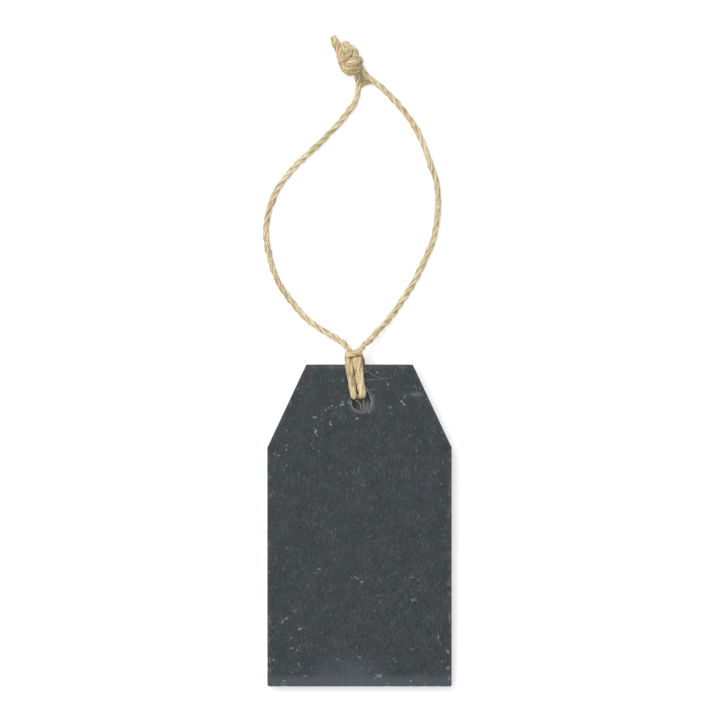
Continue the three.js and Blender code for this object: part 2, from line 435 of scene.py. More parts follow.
@dataclass(frozen=True)
class RivenSlate:
    """Natural slate, split along its cleavage and sawn to size.

    It reads as a matt dark blue grey with faint green and violet clouds, fine
    scratches along the cleavage, and pale grey where a flake has come off or the edge
    is bruised. The patterns' places are in millimetres.
    """

    name: str = "slate riven and tumbled"
    ground: str = "#33393D"
    green_cloud: str = "#2F3A3D"
    violet_cloud: str = "#36383E"
    dark: str = "#1D2225"
    light: str = "#545C60"
    rubbed: str = "#565F64"
    bruise: str = "#A3A9AB"
    edge_dark: str = "#26292B"
    roughness: float = 0.74
    ior: float = 1.55
    clouds: Pattern = Pattern(0.17, 3.0, 0.55)
    scratches: Pattern = Pattern(1.0, 5.0, 0.62)
    scratch_stretch: Triple = (1.7, 0.8, 1.0)
    grain: Pattern = Pattern(2.9, 4.0, 0.75)
    patches: Pattern = Pattern(0.24, 3.0, 0.6)
    ragged: Pattern = Pattern(2.4, 3.0, 0.6)
    wander: Pattern = Pattern(0.1, 2.0)
    cleavage: Pattern = Pattern(0.8, 7.0, 0.62)
    cleavage_stretch: Triple = (1.4, 0.5, 9.0)
    # How much the scratches, the grain and the patches count in the tone.
    tone_shares: Triple = (0.28, 0.56, 0.16)
    dark_span: Pair = (0.5, 0.38)
    light_span: Pair = (0.5, 0.62)
    strip: Pair = (-42.8, -44.6)
    spot: Triple = (-1.8, -45.5, 0.0)
    spot_stretch: Triple = (0.6, 1.0, 0.0)
    spot_reach: Pair = (8.5, 2.5)
    relief: Pair = (0.6, 0.12)

    def build(self) -> Material:
        """Make the material.

        Returns:
            The material, which reads Object coordinates and the mesh's wear and side
            attributes.
        """
        material, graph, shader = new_material(self.name)
        place = graph.add("ShaderNodeTexCoord").outputs["Object"]
        mm = graph.vector("SCALE", place, 1 / MM)
        tint = graph.ramp(
            graph.noise(mm, self.clouds),
            (0.36, self.green_cloud), (0.5, self.ground), (0.62, self.violet_cloud),
        )
        # Fine scratches run along the tag, as the cleavage does.
        scratches = graph.noise(graph.stretch(mm, self.scratch_stretch), self.scratches)
        grain, patches = graph.noise(mm, self.grain), graph.noise(mm, self.patches)
        tone = graph.total(*zip((scratches, grain, patches), self.tone_shares))
        # The lower edge is rubbed paler over a strip, and farther up in its middle.
        height = graph.add("ShaderNodeSeparateXYZ", {"Vector": mm}).outputs["Y"]
        ragged = graph.noise(mm, self.ragged)
        low = graph.total(
            (height, 1.0), (ragged, 0.7), (graph.noise(mm, self.wander), 2.2)
        )
        away = graph.vector("DISTANCE", graph.stretch(mm, self.spot_stretch), self.spot)
        strip, spot, worn = (
            graph.calc("MULTIPLY", share, graph.span(ragged, source, (least, 1.0)))
            for share, source, least in (
                (graph.span(low, self.strip, (0.0, 0.8)), (0.4, 0.58), 0.55),
                (graph.span(away, self.spot_reach, (0.0, 0.7)), (0.36, 0.6), 0.3),
                (graph.read("wear"), (0.34, 0.56), 0.25),
            )
        )
        color = graph.layers(
            tint,
            (graph.span(tone, self.dark_span, (0.0, 0.95)), self.dark),
            (graph.span(tone, self.light_span, (0.0, 0.8)), self.light),
            (strip, self.rubbed), (spot, self.rubbed), (worn, self.bruise),
            (graph.read("side"), self.edge_dark),
        )
        # Cleavage shows as long low ridges, and as thin layers on the sawn edges.
        ridges = graph.noise(graph.stretch(mm, self.cleavage_stretch), self.cleavage)
        graph.feed(shader, {
            "Base Color": color, "Roughness": self.roughness, "IOR": self.ior,
            "Normal": graph.bump(*self.relief, graph.total((ridges, 1.0), (tone, 0.5))),
        })
        return material


@dataclass(frozen=True)
class JuteTwine:
    """Natural jute, spun into plies and laid up three-ply.

    It reads as straw and khaki streaks along the fibres with pinkish tan lengths,
    painted shade as brown lines in the grooves where two plies meet, and no shine but a
    faint sheen.
    """

    name: str = "jute spun and laid"
    straw: str = "#F9EABE"
    khaki: str = "#E5DCA6"
    tan: str = "#F5D3AA"
    light: str = "#FFFBE6"
    brown: str = "#B48F5B"
    # The gap colour is painted shade, laid in the grooves where two plies meet.
    gap: str = "#63471F"
    roughness: float = 0.86
    sheen: float = 0.2
    # A real fibre bundle is under 0.1 mm wide. The streaks are about 0.3 mm wide, as
    # fine as a photograph of the whole tag can show.
    streak_stretch: Triple = (3.2, 3.2, 0.42)
    streaks: Pattern = Pattern(1.0, 4.0, 0.62)
    patches: Pattern = Pattern(0.36, 2.0)
    bridges: Pattern = Pattern(0.9, 2.0)
    light_span: Pair = (0.5, 0.64)
    brown_span: Pair = (0.47, 0.33)
    # Where the crest falls through this span, the painted shade in a groove deepens.
    groove_shade_span: Pair = (0.32, 0.05)
    relief: Pair = (0.7, 0.08)

    def build(self) -> Material:
        """Make the material.

        Returns:
            The material, which reads the twine mesh's fibre, tone and crest attributes.
        """
        material, graph, shader = new_material(self.name)
        fibre = graph.read("fibre", "Vector")
        streaks = graph.noise(graph.stretch(fibre, self.streak_stretch), self.streaks)
        hue = graph.total(
            (graph.read("tone"), 0.5), (graph.noise(fibre, self.patches), 0.5)
        )
        body = graph.ramp(hue, (0.26, self.khaki), (0.46, self.straw), (0.7, self.tan))
        # The grooves get painted shade. Loose fibre bridges a groove here and there, so the
        # painted shade in it comes and goes.
        darkest = graph.span(graph.noise(fibre, self.bridges), (0.4, 0.62), (0.2, 1.0))
        groove = graph.span(
            graph.read("crest"), self.groove_shade_span, (0.0, darkest), "SMOOTHSTEP"
        )
        color = graph.layers(
            body,
            (graph.span(streaks, self.light_span, (0.0, 0.9)), self.light),
            (graph.span(streaks, self.brown_span, (0.0, 0.95)), self.brown),
            (groove, self.gap),
        )
        graph.feed(shader, {
            "Base Color": color, "Normal": graph.bump(*self.relief, streaks),
            "Roughness": self.roughness, "Sheen Weight": self.sheen,
        })
        return material


@dataclass(frozen=True)
class LooseJute:
    """Single jute fibres that stand off the twine or lie along it.

    They read as thin lines, some paler and some browner than the twine under them.
    """

    name: str = "jute loose fibre"
    light: str = "#FFF6D8"
    middle: str = "#E2D0A0"
    dark: str = "#8F6A38"
    roughness: float = 0.6

    def build(self) -> Material:
        """Make the material, which reads each fibre's tone attribute."""
        material, graph, shader = new_material(self.name)
        color = graph.ramp(
            graph.read("tone"), (0.12, self.dark), (0.45, self.middle), (0.9, self.light)
        )
        graph.feed(shader, {"Base Color": color, "Roughness": self.roughness})
        return material


@dataclass(frozen=True)
class StudioPaper:
    """The pale paper that the tag lies on. It looks white and keeps the shadow.
    A patch of painted shade lies under the hole.
    """

    name: str = "studio paper matt white"
    color: str = "#F4F4F4"
    # Painted shade: the floor's colour inside the patch under the hole.
    shade: str = "#A6A6A0"
    roughness: float = 0.9
    glow: float = 0.46
    patch: float = 5.0

    def build(self) -> Material:
        """Make the material.

        Returns:
            The material, which looks lighter to the camera except under the hole, where its
            colour is painted shade.
        """
        material, graph, shader = new_material(self.name)
        rays = graph.add("ShaderNodeLightPath").outputs
        seen = rays["Is Camera Ray"]
        for kind in ("Is Glossy Ray", "Is Transmission Ray"):
            seen = graph.calc("MAXIMUM", seen, rays[kind])
        place = graph.add("ShaderNodeTexCoord").outputs["Object"]
        level = graph.vector("MULTIPLY", place, (1.0, 1.0, 0.0))
        hole = (SEAT.hole[0] * MM, SEAT.hole[1] * MM, 0.0)
        # The patch of painted shade is hidden by the slate all round. Only the hole shows
        # it.
        away = graph.vector("DISTANCE", level, hole)
        open_floor = graph.calc("GREATER_THAN", away, self.patch * MM)
        shown = graph.calc("MULTIPLY", seen, open_floor)
        light = graph.add("ShaderNodeEmission", {
            "Strength": graph.calc("MULTIPLY", shown, self.glow),
        })
        both = graph.add("ShaderNodeAddShader", {
            0: shader.outputs["BSDF"], 1: light.outputs[0],
        })
        graph.feed(shader, {
            "Base Color": graph.layers(linear(self.shade), (open_floor, self.color)),
            "Roughness": self.roughness,
        })
        output = next(n for n in graph.tree.nodes if n.type == "OUTPUT_MATERIAL")
        graph.feed(output, {"Surface": both.outputs[0]})
        return material


# Studio


@dataclass
class Studio:
    """Camera, lamps and floor. The camera looks straight down, as the photograph does."""

    centre: Pair = (0.3, 49.17)
    frame_width: float = 215.5
    camera_height: float = 1500.0
    sensor: float = 36.0
    clip: Pair = (50.0, 20000.0)
    floor_size: float = 3000.0
    floor_height: float = -0.02
    sky: float = 0.5
    backdrop: float = 1.0
    lamp_size: float = 700.0
    lamp_place: Triple = (-380.0, 420.0, 850.0)
    lamp_aim: Triple = (0.0, 50.0, 0.0)
    lamp_energy: float = 5.6

    def build_camera(self) -> None:
        """Make the camera."""
        data = bpy.data.cameras.new("camera")
        data.sensor_width = self.sensor
        data.lens = self.sensor * self.camera_height / self.frame_width
        data.clip_start, data.clip_end = (distance * MM for distance in self.clip)
        camera = new_object("camera", data)
        camera.location = Vector((*self.centre, self.camera_height)) * MM
        bpy.context.scene.camera = camera

    def build_lamps(self) -> None:
        """Make an even sky and one broad soft lamp above the upper left."""
        world = bpy.data.worlds.new("studio")
        world.use_nodes = True
        world.node_tree.nodes.clear()
        graph = Graph(world.node_tree)
        sky, backdrop = (
            graph.add("ShaderNodeBackground", {
                "Color": (1.0, 1.0, 1.0, 1.0), "Strength": strength,
            }).outputs[0]
            for strength in (self.sky, self.backdrop)
        )
        seen = graph.add("ShaderNodeLightPath").outputs["Is Camera Ray"]
        mixed = graph.add("ShaderNodeMixShader", {0: seen, 1: sky, 2: backdrop})
        graph.add("ShaderNodeOutputWorld", {"Surface": mixed.outputs[0]})
        bpy.context.scene.world = world
        data = bpy.data.lights.new("softbox", "AREA")
        data.shape = "SQUARE"
        data.size = self.lamp_size * MM
        data.energy = self.lamp_energy
        lamp = new_object("softbox", data)
        lamp.location = Vector(self.lamp_place) * MM
        aim = Vector(self.lamp_aim) * MM - Vector(lamp.location)
        lamp.rotation_mode = "QUATERNION"
        lamp.rotation_quaternion = aim.to_track_quat("-Z", "Y")

    def build_floor(self) -> None:
        """Make the paper that the tag lies on."""
        half = self.floor_size / 2
        corners = [
            (x * half, y * half, self.floor_height)
            for x, y in ((-1, -1), (1, -1), (1, 1), (-1, 1))
        ]
        mesh = mesh_from("floor", corners, [[0, 1, 2, 3]], smooth=False)
        mesh.materials.append(StudioPaper().build())
        new_object("floor", mesh)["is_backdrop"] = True

    def build(self) -> None:
        """Make everything that isn't part of the tag."""
        self.build_camera()
        self.build_lamps()
        self.build_floor()
        bpy.context.scene.view_settings.view_transform = "Standard"
        log.info("studio ready: camera %.0f mm above the floor", self.camera_height)


# Twine


@dataclass
class TwineLine:
    """The middle line of a stretch of twine, with its section at each point.

    Lengths are in millimetres. The phase says how far the lay has turned.
    """

    centre: np.ndarray
    side: np.ndarray
    deep: np.ndarray
    half_side: np.ndarray
    half_deep: np.ndarray
    along: np.ndarray
    phase: np.ndarray
    tight: np.ndarray

    def at(self, rings: np.ndarray) -> "TwineLine":
        """Take some of the line's rings, by number or by yes and no."""
        return TwineLine(*(getattr(self, name)[rings] for name in self.__dataclass_fields__))

    def cut(self, first: float, last: float) -> "TwineLine":
        """Take the stretch between two distances along the line."""
        slack = 1e-9
        return self.at((self.along >= first - slack) & (self.along <= last + slack))

    def section(self, x: np.ndarray, y: np.ndarray) -> np.ndarray:
        """Place points round each ring, given as shares of its half width and depth."""
        return (
            self.centre[:, None, :]
            + self.side[:, None, :] * (x * self.half_side[:, None])[:, :, None]
            + self.deep[:, None, :] * (y * self.half_deep[:, None])[:, :, None]
        )

    def length(self) -> float:
        """Return the stretch's length in millimetres."""
        return float(self.along[-1] - self.along[0])


@dataclass
class HitchRoute:
    """The cow hitch in its own frame: x across, y up the tag, z out of the slate.

    The twine is pulled tight here, so it is pressed flat on the slate and choked where
    the band crosses the legs.
    """

    lean: float = math.radians(9)
    plate_half: float = 2.0
    hole_from_edge: float = 10.9
    band_above_edge: float = 3.45
    pressed: float = 1.35
    clearance: float = 0.09
    strand_gap: float = 0.1
    back_width: float = 2.0
    ring: float = 2.4
    right_inward: float = 0.4
    legs_below_face: float = 0.9
    legs_thick: float = 1.1
    band_thick: float = 1.05
    band_width: float = 2.0
    crown_rise: float = 0.04
    pair_lean: float = math.radians(38)

    def half(self, side: Side) -> np.ndarray:
        """Give one half of the hitch, from under the band to beside the crown.

        Args:
            side: Which leg the half ends in.

        Returns:
            Stations of x, y, z, width and thickness.
        """
        sign = side.value
        face = self.plate_half + self.clearance + self.pressed / 2
        edge = self.hole_from_edge / math.cos(self.lean)
        band = edge + self.band_above_edge
        reach = SEAT.hole_radius - self.clearance - self.pressed / 2
        offset = (self.pressed + self.strand_gap) / 2
        slant = offset * math.sin(self.pair_lean)
        out = math.sqrt(slant**2 + reach**2 - offset**2) - slant
        middle = -out * math.sin(self.pair_lean)
        up = out * math.cos(self.pair_lean)
        under = face - self.legs_below_face
        over = under + (self.legs_thick + self.band_thick) / 2
        ring = self.ring if side is Side.LEFT else self.ring - self.right_inward
        deep = self.pressed

        def along(share: float) -> float:
            """Return a height between the hole and the top edge."""
            return up + (edge - up) * share

        def strand(
            shared: float, y: float, z: float, width: float, thick: float = deep,
            gap: float = self.strand_gap,
        ) -> list[float]:
            """Return a station beside the pair's shared middle line."""
            return [shared + sign * (width + gap) / 2, y, z, width, thick]

        return np.array([
            *self.parting(side, band, over),
            strand(-0.12, band - 0.1, under - 0.2, 2.2, 1.0, -0.1),
            strand(-0.34, band - 1.05, under - 0.3, 2.45, 1.1, -0.2),
            strand(-0.48, band - 1.6, under + 0.2, 2.75, 1.35, -0.3),
            strand(-0.56, edge + 0.9, face - 0.2, 2.88, 1.4, -0.32),
            strand(-0.6, edge + 0.2, face - 0.04, 2.9, deep, -0.32),
            strand(-0.65, along(0.85), face, 2.8, deep, -0.28),
            strand(-0.7, along(0.55), face, 2.66, deep, -0.08),
            strand(-0.7, along(0.32), face, 2.54, deep, 0.02),
            strand(-0.7, up + 1.6, face, 2.36, deep, 0.04),
            strand(-0.7, up + 0.7, face - 0.06, 2.28, deep, 0.05),
            strand(-0.72, up + 0.2, face - 0.45, 2.2, 1.4, 0.05),
            strand(middle, up + 0.05, face - 1.2, 1.6, 1.3),
            strand(middle, up, 0, 1.5, 1.35),
            strand(middle, up + 0.05, 1.2 - face, 1.5, 1.35),
            strand(middle, up + 0.3, 0.6 - face, 1.6, 1.35),
            strand(middle, up + 0.9, 0.2 - face, 1.7),
            strand(middle, up + 1.8, -face, 1.8),
            strand(middle + 0.12, along(0.34), -face, self.back_width),
            strand(-0.5 + 0.1 * sign, along(0.6), -face, self.back_width),
            [sign * 1.75 - 0.15, along(0.86), -face, 1.9, deep],
            [sign * 2.05, edge + 0.55, 0.05 - face, 1.7, deep],
            [sign * ring, edge + 1.75, 1.15 - face, 1.2, 1.6],
            [sign * ring, edge + 2.4, 0, self.band_thick, 1.75],
            [sign * ring, band - 0.3, under + 0.1, self.band_thick, 2.0],
            [sign * (ring - 0.25), band - 0.1, over - 0.5, self.band_thick, 2.15],
            [sign * 1.25, band + 0.02, over - 0.06, self.band_thick, self.band_width],
        ])

    @staticmethod
    def parting(side: Side, band: float, over: float) -> list[list[float]]:
        """Give the stations where a leg leaves the band for its own side."""
        if side is Side.LEFT:
            return [
                [-1.85, band + 2.15, over - 1.45, 1.7, 1.5],
                [-1.15, band + 1.05, over - 0.7, 1.9, 1.4],
            ]
        return [
            [2.85, band + 1.3, over - 1.45, 1.7, 1.6],
            [1.65, band + 0.6, over - 0.65, 2.0, 1.4],
        ]

    def stations(self) -> np.ndarray:
        """Give the whole hitch, from the left leg to the right leg."""
        left, right = self.half(Side.LEFT), self.half(Side.RIGHT)
        crown = left[-1].copy()
        crown[0] = 0.0
        crown[2] += self.crown_rise
        return np.vstack([left, crown, right[::-1]])


@dataclass
class KnotRoute:
    """The end knot in its own frame: x across, y towards the cut tails, z up."""

    origin: Pair = (0.625, 134.05)
    turn: float = math.radians(26.565)
    pair_turn: float = math.radians(24)
    leg_thick: float = 1.8
    thick: float = 2.1
    swelling: float = 6
    shorter: int = 2
    table_room: float = 0.03
    # Points of the doubled strand, each with how far its two strands lie apart.
    route: tuple = (
        (-0.1, 2, 1.25, 1.7), (0.1, 3.4, 1.5, 1.6), (0.1, 5, 1.7, 1.4),
        (0.0, 7, 1.8, 1.3), (-0.3, 9, 2.0, 1.1), (-0.5, 10.3, 2.7, 1.0),
        (-0.45, 10.6, 3.8, 1.0), (-0.3, 9.7, 4.6, 1.0), (0.05, 8.6, 4.9, 1.3),
        (0.6, 7.4, 5.0, 1.9), (-0.1, 6.5, 5.0, 2.0), (-1.5, 6.1, 4.9, 1.9),
        (-2.6, 5.7, 4.3, 1.7), (-3.1, 5.1, 3.2, 1.6), (-3.0, 4.4, 1.8, 1.6),
        (-2.1, 3.7, 1.0, 1.7), (-0.5, 3.4, 0.9, 1.8), (0.5, 3.4, 1.3, 1.9),
        (1.0, 3.7, 2.4, 2.0), (0.6, 3.8, 3.5, 2.0), (-0.4, 3.4, 4.1, 1.8),
        (-1.8, 2.9, 4.1, 1.7), (-3.0, 3.2, 3.7, 1.6), (-3.5, 4.4, 3.2, 1.5),
        (-3.4, 6.1, 3.1, 1.6), (-3.0, 8.1, 3.4, 1.7), (-2.55, 10, 3.2, 1.7),
        (-2.5, 12, 2.7, 1.7), (-2.65, 13.2, 2.4, 1.9), (-2.7, 14.2, 2.2, 2.0),
    )

    def strand(self, side: Side) -> np.ndarray:
        """Give one strand's stations, from the leg to the cut tail.

        Args:
            side: Which leg the strand goes on from.

        Returns:
            Stations of x, y, z, width and thickness in the row frame.
        """
        samples, place = curve_through(np.array(self.route, float), 2)
        middle, apart = samples[:, :3], samples[:, 3:]
        way = directions(middle)
        sides = carried_sides(way, 0, np.array([1.0, 0, 0]))
        angle = (self.pair_turn * place / place[-1])[:, None]
        across = sides * np.cos(angle) + np.cross(way, sides) * np.sin(angle)
        # The first two samples lie inside the leg.
        local = (middle + across * side.value * apart / 2)[2:]
        points = turned(local, self.turn) + np.array([*self.origin, 0])
        if side is Side.RIGHT:
            points = points[:-self.shorter]
        # The strand swells as it leaves the leg, where nothing grips it.
        grown = np.clip(np.linspace(0, 1, len(points)) * self.swelling, 0, 1)
        size = self.leg_thick + (self.thick - self.leg_thick) * grown
        points[:, 2] = np.maximum(points[:, 2], size / 2 + self.table_room)
        return np.hstack([points, np.stack([size, size], axis=1)])


@dataclass
class Twine:
    """One length of doubled three-ply jute: hitch, two legs and the end knot.

    The whole line is laid out once, so that the plies run on unbroken from each
    stretch to the next. The legs' routes and all places are those of the CAD part.
    """

    diameter: float = 1.8
    plies: int = 3
    lay: float = 9.6
    lay_sway: float = 0.006
    lay_wave: float = 14.0
    # Pulled straight over the slate, the plies lie almost along the strand. Tying the
    # knot winds them up, so that their lay is shorter there.
    pulled_lay: float = -0.5
    tied_lay: float = 0.6
    lay_ease: int = 13
    step: float = 0.22
    sides: int = 14
    samples: int = 24
    # How many stations at each end of the hitch are not pulled tight.
    loose_ends: Pair = (2.2, 3.2)
    # Mean, swing and the millimetres between changes of each ply's radius, its tone
    # and its distance from the middle.
    ply_radius: Triple = (0.56, 0.04, 3.1)
    ply_tone: Triple = (0.5, 0.5, 6.5)
    ply_reach: Triple = (0.44, 0.03, 2.3)
    ply_seed: int = 100
    pressed: float = 0.09
    bundle_height: float = 0.06
    # Below this share of the half width a point lies in a groove, which gets painted shade.
    crest_from: float = 0.62
    # How far apart the plies' streaks are read from their pattern.
    ply_shift: float = 7
    knot_cuts: Pair = (0.55, 1.4)
    loop_origin: Pair = (-1.375, 54.0)
    fold_height: float = 4.652
    on_table: float = 0.93
    left_route: tuple = (
        (-2.9, 0, 1), (-5.3, 1.65, 0.72), (-9.7, 4.3, 0.32), (-14.6, 7.9, 0.07),
        (-19.3, 13.3, 0.01), (-23.3, 19.5, 0), (-25.8, 27.6, 0), (-26.5, 33, 0),
        (-25.9, 39.3, 0), (-23.1, 46.4, 0), (-17.5, 53.6, 0), (-9.8, 60.8, 0),
        (-3.9, 67.1, 0), (-0.6, 71.5, 0), (0.8, 75.1, 0), (0.9, 79.5, 0),
    )
    right_route: tuple = (
        (2.9, 0, 1), (5, 1.7, 0.72), (7, 4.3, 0.42), (9.6, 7, 0.18), (13.5, 12.4, 0.02),
        (17.5, 18.6, 0), (21.5, 26.7, 0), (23.6, 32.1, 0), (24.8, 42, 0),
        (24.2, 49.1, 0), (22.6, 53.6, 0), (20, 60.8, 0), (17.1, 66.2, 0),
        (13, 71.5, 0), (8.7, 76, 0), (5.1, 78.9, 0), (3.1, 80.6, 0),
    )
    hitch: HitchRoute = field(default_factory=HitchRoute)
    knot: KnotRoute = field(default_factory=KnotRoute)
    seed: int = 7

    def leg(self, side: Side) -> np.ndarray:
        """Give one leg's stations, from the fold line up to the knot."""
        route = np.array(self.left_route if side is Side.LEFT else self.right_route, float)
        z = self.on_table + (self.fold_height - self.on_table) * route[:, 2]
        sizes = np.full(len(route), self.diameter)
        places = route[:, :2] + np.array(self.loop_origin)
        return np.column_stack([places, z, sizes, sizes])

    def hitch_stations(self) -> np.ndarray:
        """Give the hitch's stations in the row frame."""
        local = self.hitch.stations()
        flat = turned(local[:, :3], self.hitch.lean) + np.array([*SEAT.hole, 0])
        return np.hstack([SEAT.place(flat), local[:, 3:]])

    def lay_out(self) -> dict[str, TwineLine]:
        """Lay the whole line and cut it where its bodies change.

        Returns:
            The stretches by name: knot_left, leg_left, hitch, leg_right, knot_right.
        """
        knot_left, knot_right = (self.knot.strand(side) for side in Side)
        leg_left, leg_right = (self.leg(side) for side in Side)
        hitch = self.hitch_stations()
        stations = np.vstack([
            knot_left[::-1], leg_left[::-1], hitch, leg_right, knot_right,
        ])
        fine, place = curve_through(stations, self.samples)
        steps = np.linalg.norm(np.diff(fine[:, :3], axis=0), axis=1)
        run = np.concatenate([[0], np.cumsum(steps)])
        along = np.linspace(0, run[-1], int(run[-1] / self.step) + 1)
        even = np.stack([np.interp(along, run, column) for column in fine.T], axis=1)
        spot = np.interp(along, run, place)
        way = directions(even[:, :3])
        first = len(knot_left) + len(leg_left)
        after = first + len(hitch)
        last = after + len(leg_right) - 1
        hitch_x = np.array([math.cos(self.hitch.lean), math.sin(self.hitch.lean), 0])
        side = carried_sides(way, int(np.searchsorted(spot, first)), hitch_x)
        rng = np.random.default_rng(self.seed)
        open_lay = 1 / self.lay + self.lay_sway * smooth_noise(rng, along, self.lay_wave)
        window = np.ones(self.lay_ease) / self.lay_ease
        pulled, tied = (
            np.convolve(share.astype(float), window, "same")
            for share in (
                (spot > first + self.loose_ends[0]) & (spot < after - self.loose_ends[1]),
                (spot < len(knot_left)) | (spot > last),
            )
        )
        lay = open_lay * (1 + self.pulled_lay * pulled + self.tied_lay * tied)
        whole = TwineLine(
            centre=even[:, :3], side=side, deep=np.cross(way, side),
            half_side=even[:, 3] / 2, half_deep=even[:, 4] / 2, along=along,
            phase=TURN * (np.cumsum(lay) * (along[1] - along[0])), tight=pulled,
        )
        cuts = [
            float(along[int(np.argmin(np.abs(spot - station)))])
            for station in (
                len(knot_left) + self.knot_cuts[0], first + 1, after - 2,
                last - self.knot_cuts[1],
            )
        ]
        names = ("knot_left", "leg_left", "hitch", "leg_right", "knot_right")
        ends = zip([0, *cuts], [*cuts, along[-1]])
        return {name: whole.cut(a, b) for name, (a, b) in zip(names, ends)}

    def surface(self, name: str, lines: list[TwineLine]) -> Mesh:
        """Sweep the three plies along stretches of the line.

        Args:
            name: The mesh's name.
            lines: The stretches that go in one mesh.

        Returns:
            The mesh, with fibre, tone and crest kept for the material.
        """
        points, faces, fibres, tones, crests = [], [], [], [], []
        base = 0
        theta = TURN * np.arange(self.sides) / self.sides
        radius = self.diameter / 4
        for line, ply in product(lines, range(self.plies)):
            thick, out, tone, phi = (v[:, None] for v in self.ply_shape(line, ply))
            spin = theta + line.phase[:, None]
            ridge = 1 + self.bundle_height * self.ridges(spin, line.along, ply)
            x = out * np.cos(phi) + thick * ridge * np.cos(phi + theta)
            y = out * np.sin(phi) + thick * ridge * np.sin(phi + theta)
            # The crest is low in the grooves between plies, where the material paints shade.
            crest = (np.hypot(x, y) - self.crest_from) / (1 - self.crest_from)
            points.append(line.section(x, y).reshape(-1, 3))
            fibres.append(np.stack([
                radius * np.cos(spin) + self.ply_shift * ply, radius * np.sin(spin),
                np.repeat(line.along[:, None], self.sides, 1),
            ], axis=2).reshape(-1, 3))
            tones.append(np.repeat(tone, self.sides, 1).ravel())
            crests.append(np.clip(crest, 0, 1).ravel())
            faces += self.tube_faces(base, len(line.along))
            base += len(line.along) * self.sides
        mesh = mesh_from(name, np.vstack(points), faces)
        store(mesh, "fibre", np.vstack(fibres))
        store(mesh, "tone", np.concatenate(tones))
        store(mesh, "crest", np.concatenate(crests))
        return mesh

    def tube_faces(self, base: int, rings: int) -> list[list[int]]:
        """Give the faces of one closed tube, with a cap at each end.

        Args:
            base: The number of the tube's first point.
            rings: How many rings it has.

        Returns:
            Each face's point numbers.
        """
        n, last = self.sides, base + (rings - 1) * self.sides
        faces = [
            [row + j, row + (j + 1) % n, row + n + (j + 1) % n, row + n + j]
            for row in range(base, last, n) for j in range(n)
        ]
        return faces + [[base + j for j in reversed(range(n))], list(range(last, last + n))]

    def ply_shape(self, line: TwineLine, ply: int) -> tuple[np.ndarray, ...]:
        """Give a ply's size and place along a stretch, as shares of the twine's half.

        Args:
            line: The stretch.
            ply: Which ply it is.

        Returns:
            Per ring, the ply's radius, its distance from the middle, its tone and its
            angle.
        """
        rng = np.random.default_rng(self.ply_seed + ply)
        # The values are drawn for more than the whole line, so that stretches join.
        whole = np.arange(0, 520.0, 0.5)
        thick, tone, out = (
            np.interp(line.along, whole, middle + swing * smooth_noise(rng, whole, wave))
            for middle, swing, wave in (self.ply_radius, self.ply_tone, self.ply_reach)
        )
        press = self.pressed * line.tight
        return press + thick, out - press, tone, line.phase + TURN * ply / self.plies

    @staticmethod
    def ridges(spin: np.ndarray, along: np.ndarray, ply: int) -> np.ndarray:
        """Give the fibre bundles that stand out of a ply's surface.

        Args:
            spin: The angle round the ply, counted from a fibre.
            along: The distance along the twine of each ring.
            ply: Which ply it is.

        Returns:
            One height per point, from -1 to 1.
        """
        columns, rows, row_step, seed = 10, 400, 1.7, 40
        table = np.random.default_rng(seed + ply).uniform(-1, 1, (columns, rows))
        u = (spin / TURN) % 1 * columns
        v = np.repeat((along / row_step)[:, None], spin.shape[1], 1)
        i, j = np.floor(u).astype(int) % columns, np.floor(v).astype(int)
        fu, fv = eased(u - np.floor(u)), eased(v - np.floor(v))
        i2 = (i + 1) % columns
        low = table[i, j] * (1 - fu) + table[i2, j] * fu
        high = table[i, j + 1] * (1 - fu) + table[i2, j + 1] * fu
        return low * (1 - fv) + high * fv


# Fibres


@dataclass(frozen=True)
class LyingFibres:
    """Fibres that lie along a stretch of twine and dip back into it at both ends."""

    per_mm: float = 8.0
    rings: tuple[int, int] = (8, 26)
    ring_step: int = 2
    fewest: int = 3
    around: float = 1.8
    turning: Pair = (0.1, 1.3)
    waver: float = 0.12
    wavers: Pair = (3, 8)
    depth: float = 0.95
    arch: float = 0.1
    arch_more: float = 0.05
    tone: Pair = (0.55, 0.3)

    def draw(
        self, twine: Twine, line: TwineLine, seed: int
    ) -> tuple[list[np.ndarray], list[float]]:
        """Draw the fibres of one stretch.

        Args:
            twine: The twine.
            line: The stretch.
            seed: The seed of everything random in it.

        Returns:
            The fibres' lines and tones.
        """
        rng = np.random.default_rng(seed)
        shapes = [twine.ply_shape(line, ply) for ply in range(twine.plies)]
        lines, tones = [], []
        last = len(line.along) - 1
        for _ in range(int(self.per_mm * line.length())):
            start = int(rng.integers(0, max(1, last - self.rings[0])))
            end = min(start + int(rng.integers(*self.rings)), last)
            rings = np.arange(start, end, self.ring_step)
            if len(rings) < self.fewest:
                continue
            part = line.at(rings)
            thick, out, _, phi = (v[rings] for v in shapes[rng.integers(twine.plies)])
            share = (rings - rings[0]) / (rings[-1] - rings[0])
            # Each fibre turns round its ply, less or more than the lay does, and wavers.
            back = part.phase - part.phase[0]
            theta = rng.uniform(-self.around, self.around)
            theta = theta - back * rng.uniform(*self.turning)
            waver = rng.normal(0, self.waver)
            theta = theta + waver * np.sin(share * rng.uniform(*self.wavers))
            arch = np.sin(math.pi * share)
            lift = self.depth + (self.arch + rng.exponential(self.arch_more)) * arch
            x = out * np.cos(phi) + thick * lift * np.cos(phi + theta)
            y = out * np.sin(phi) + thick * lift * np.sin(phi + theta)
            lines.append(part.section(x[:, None], y[:, None])[:, 0])
            tones.append(float(np.clip(rng.normal(*self.tone), 0, 1)))
        return lines, tones


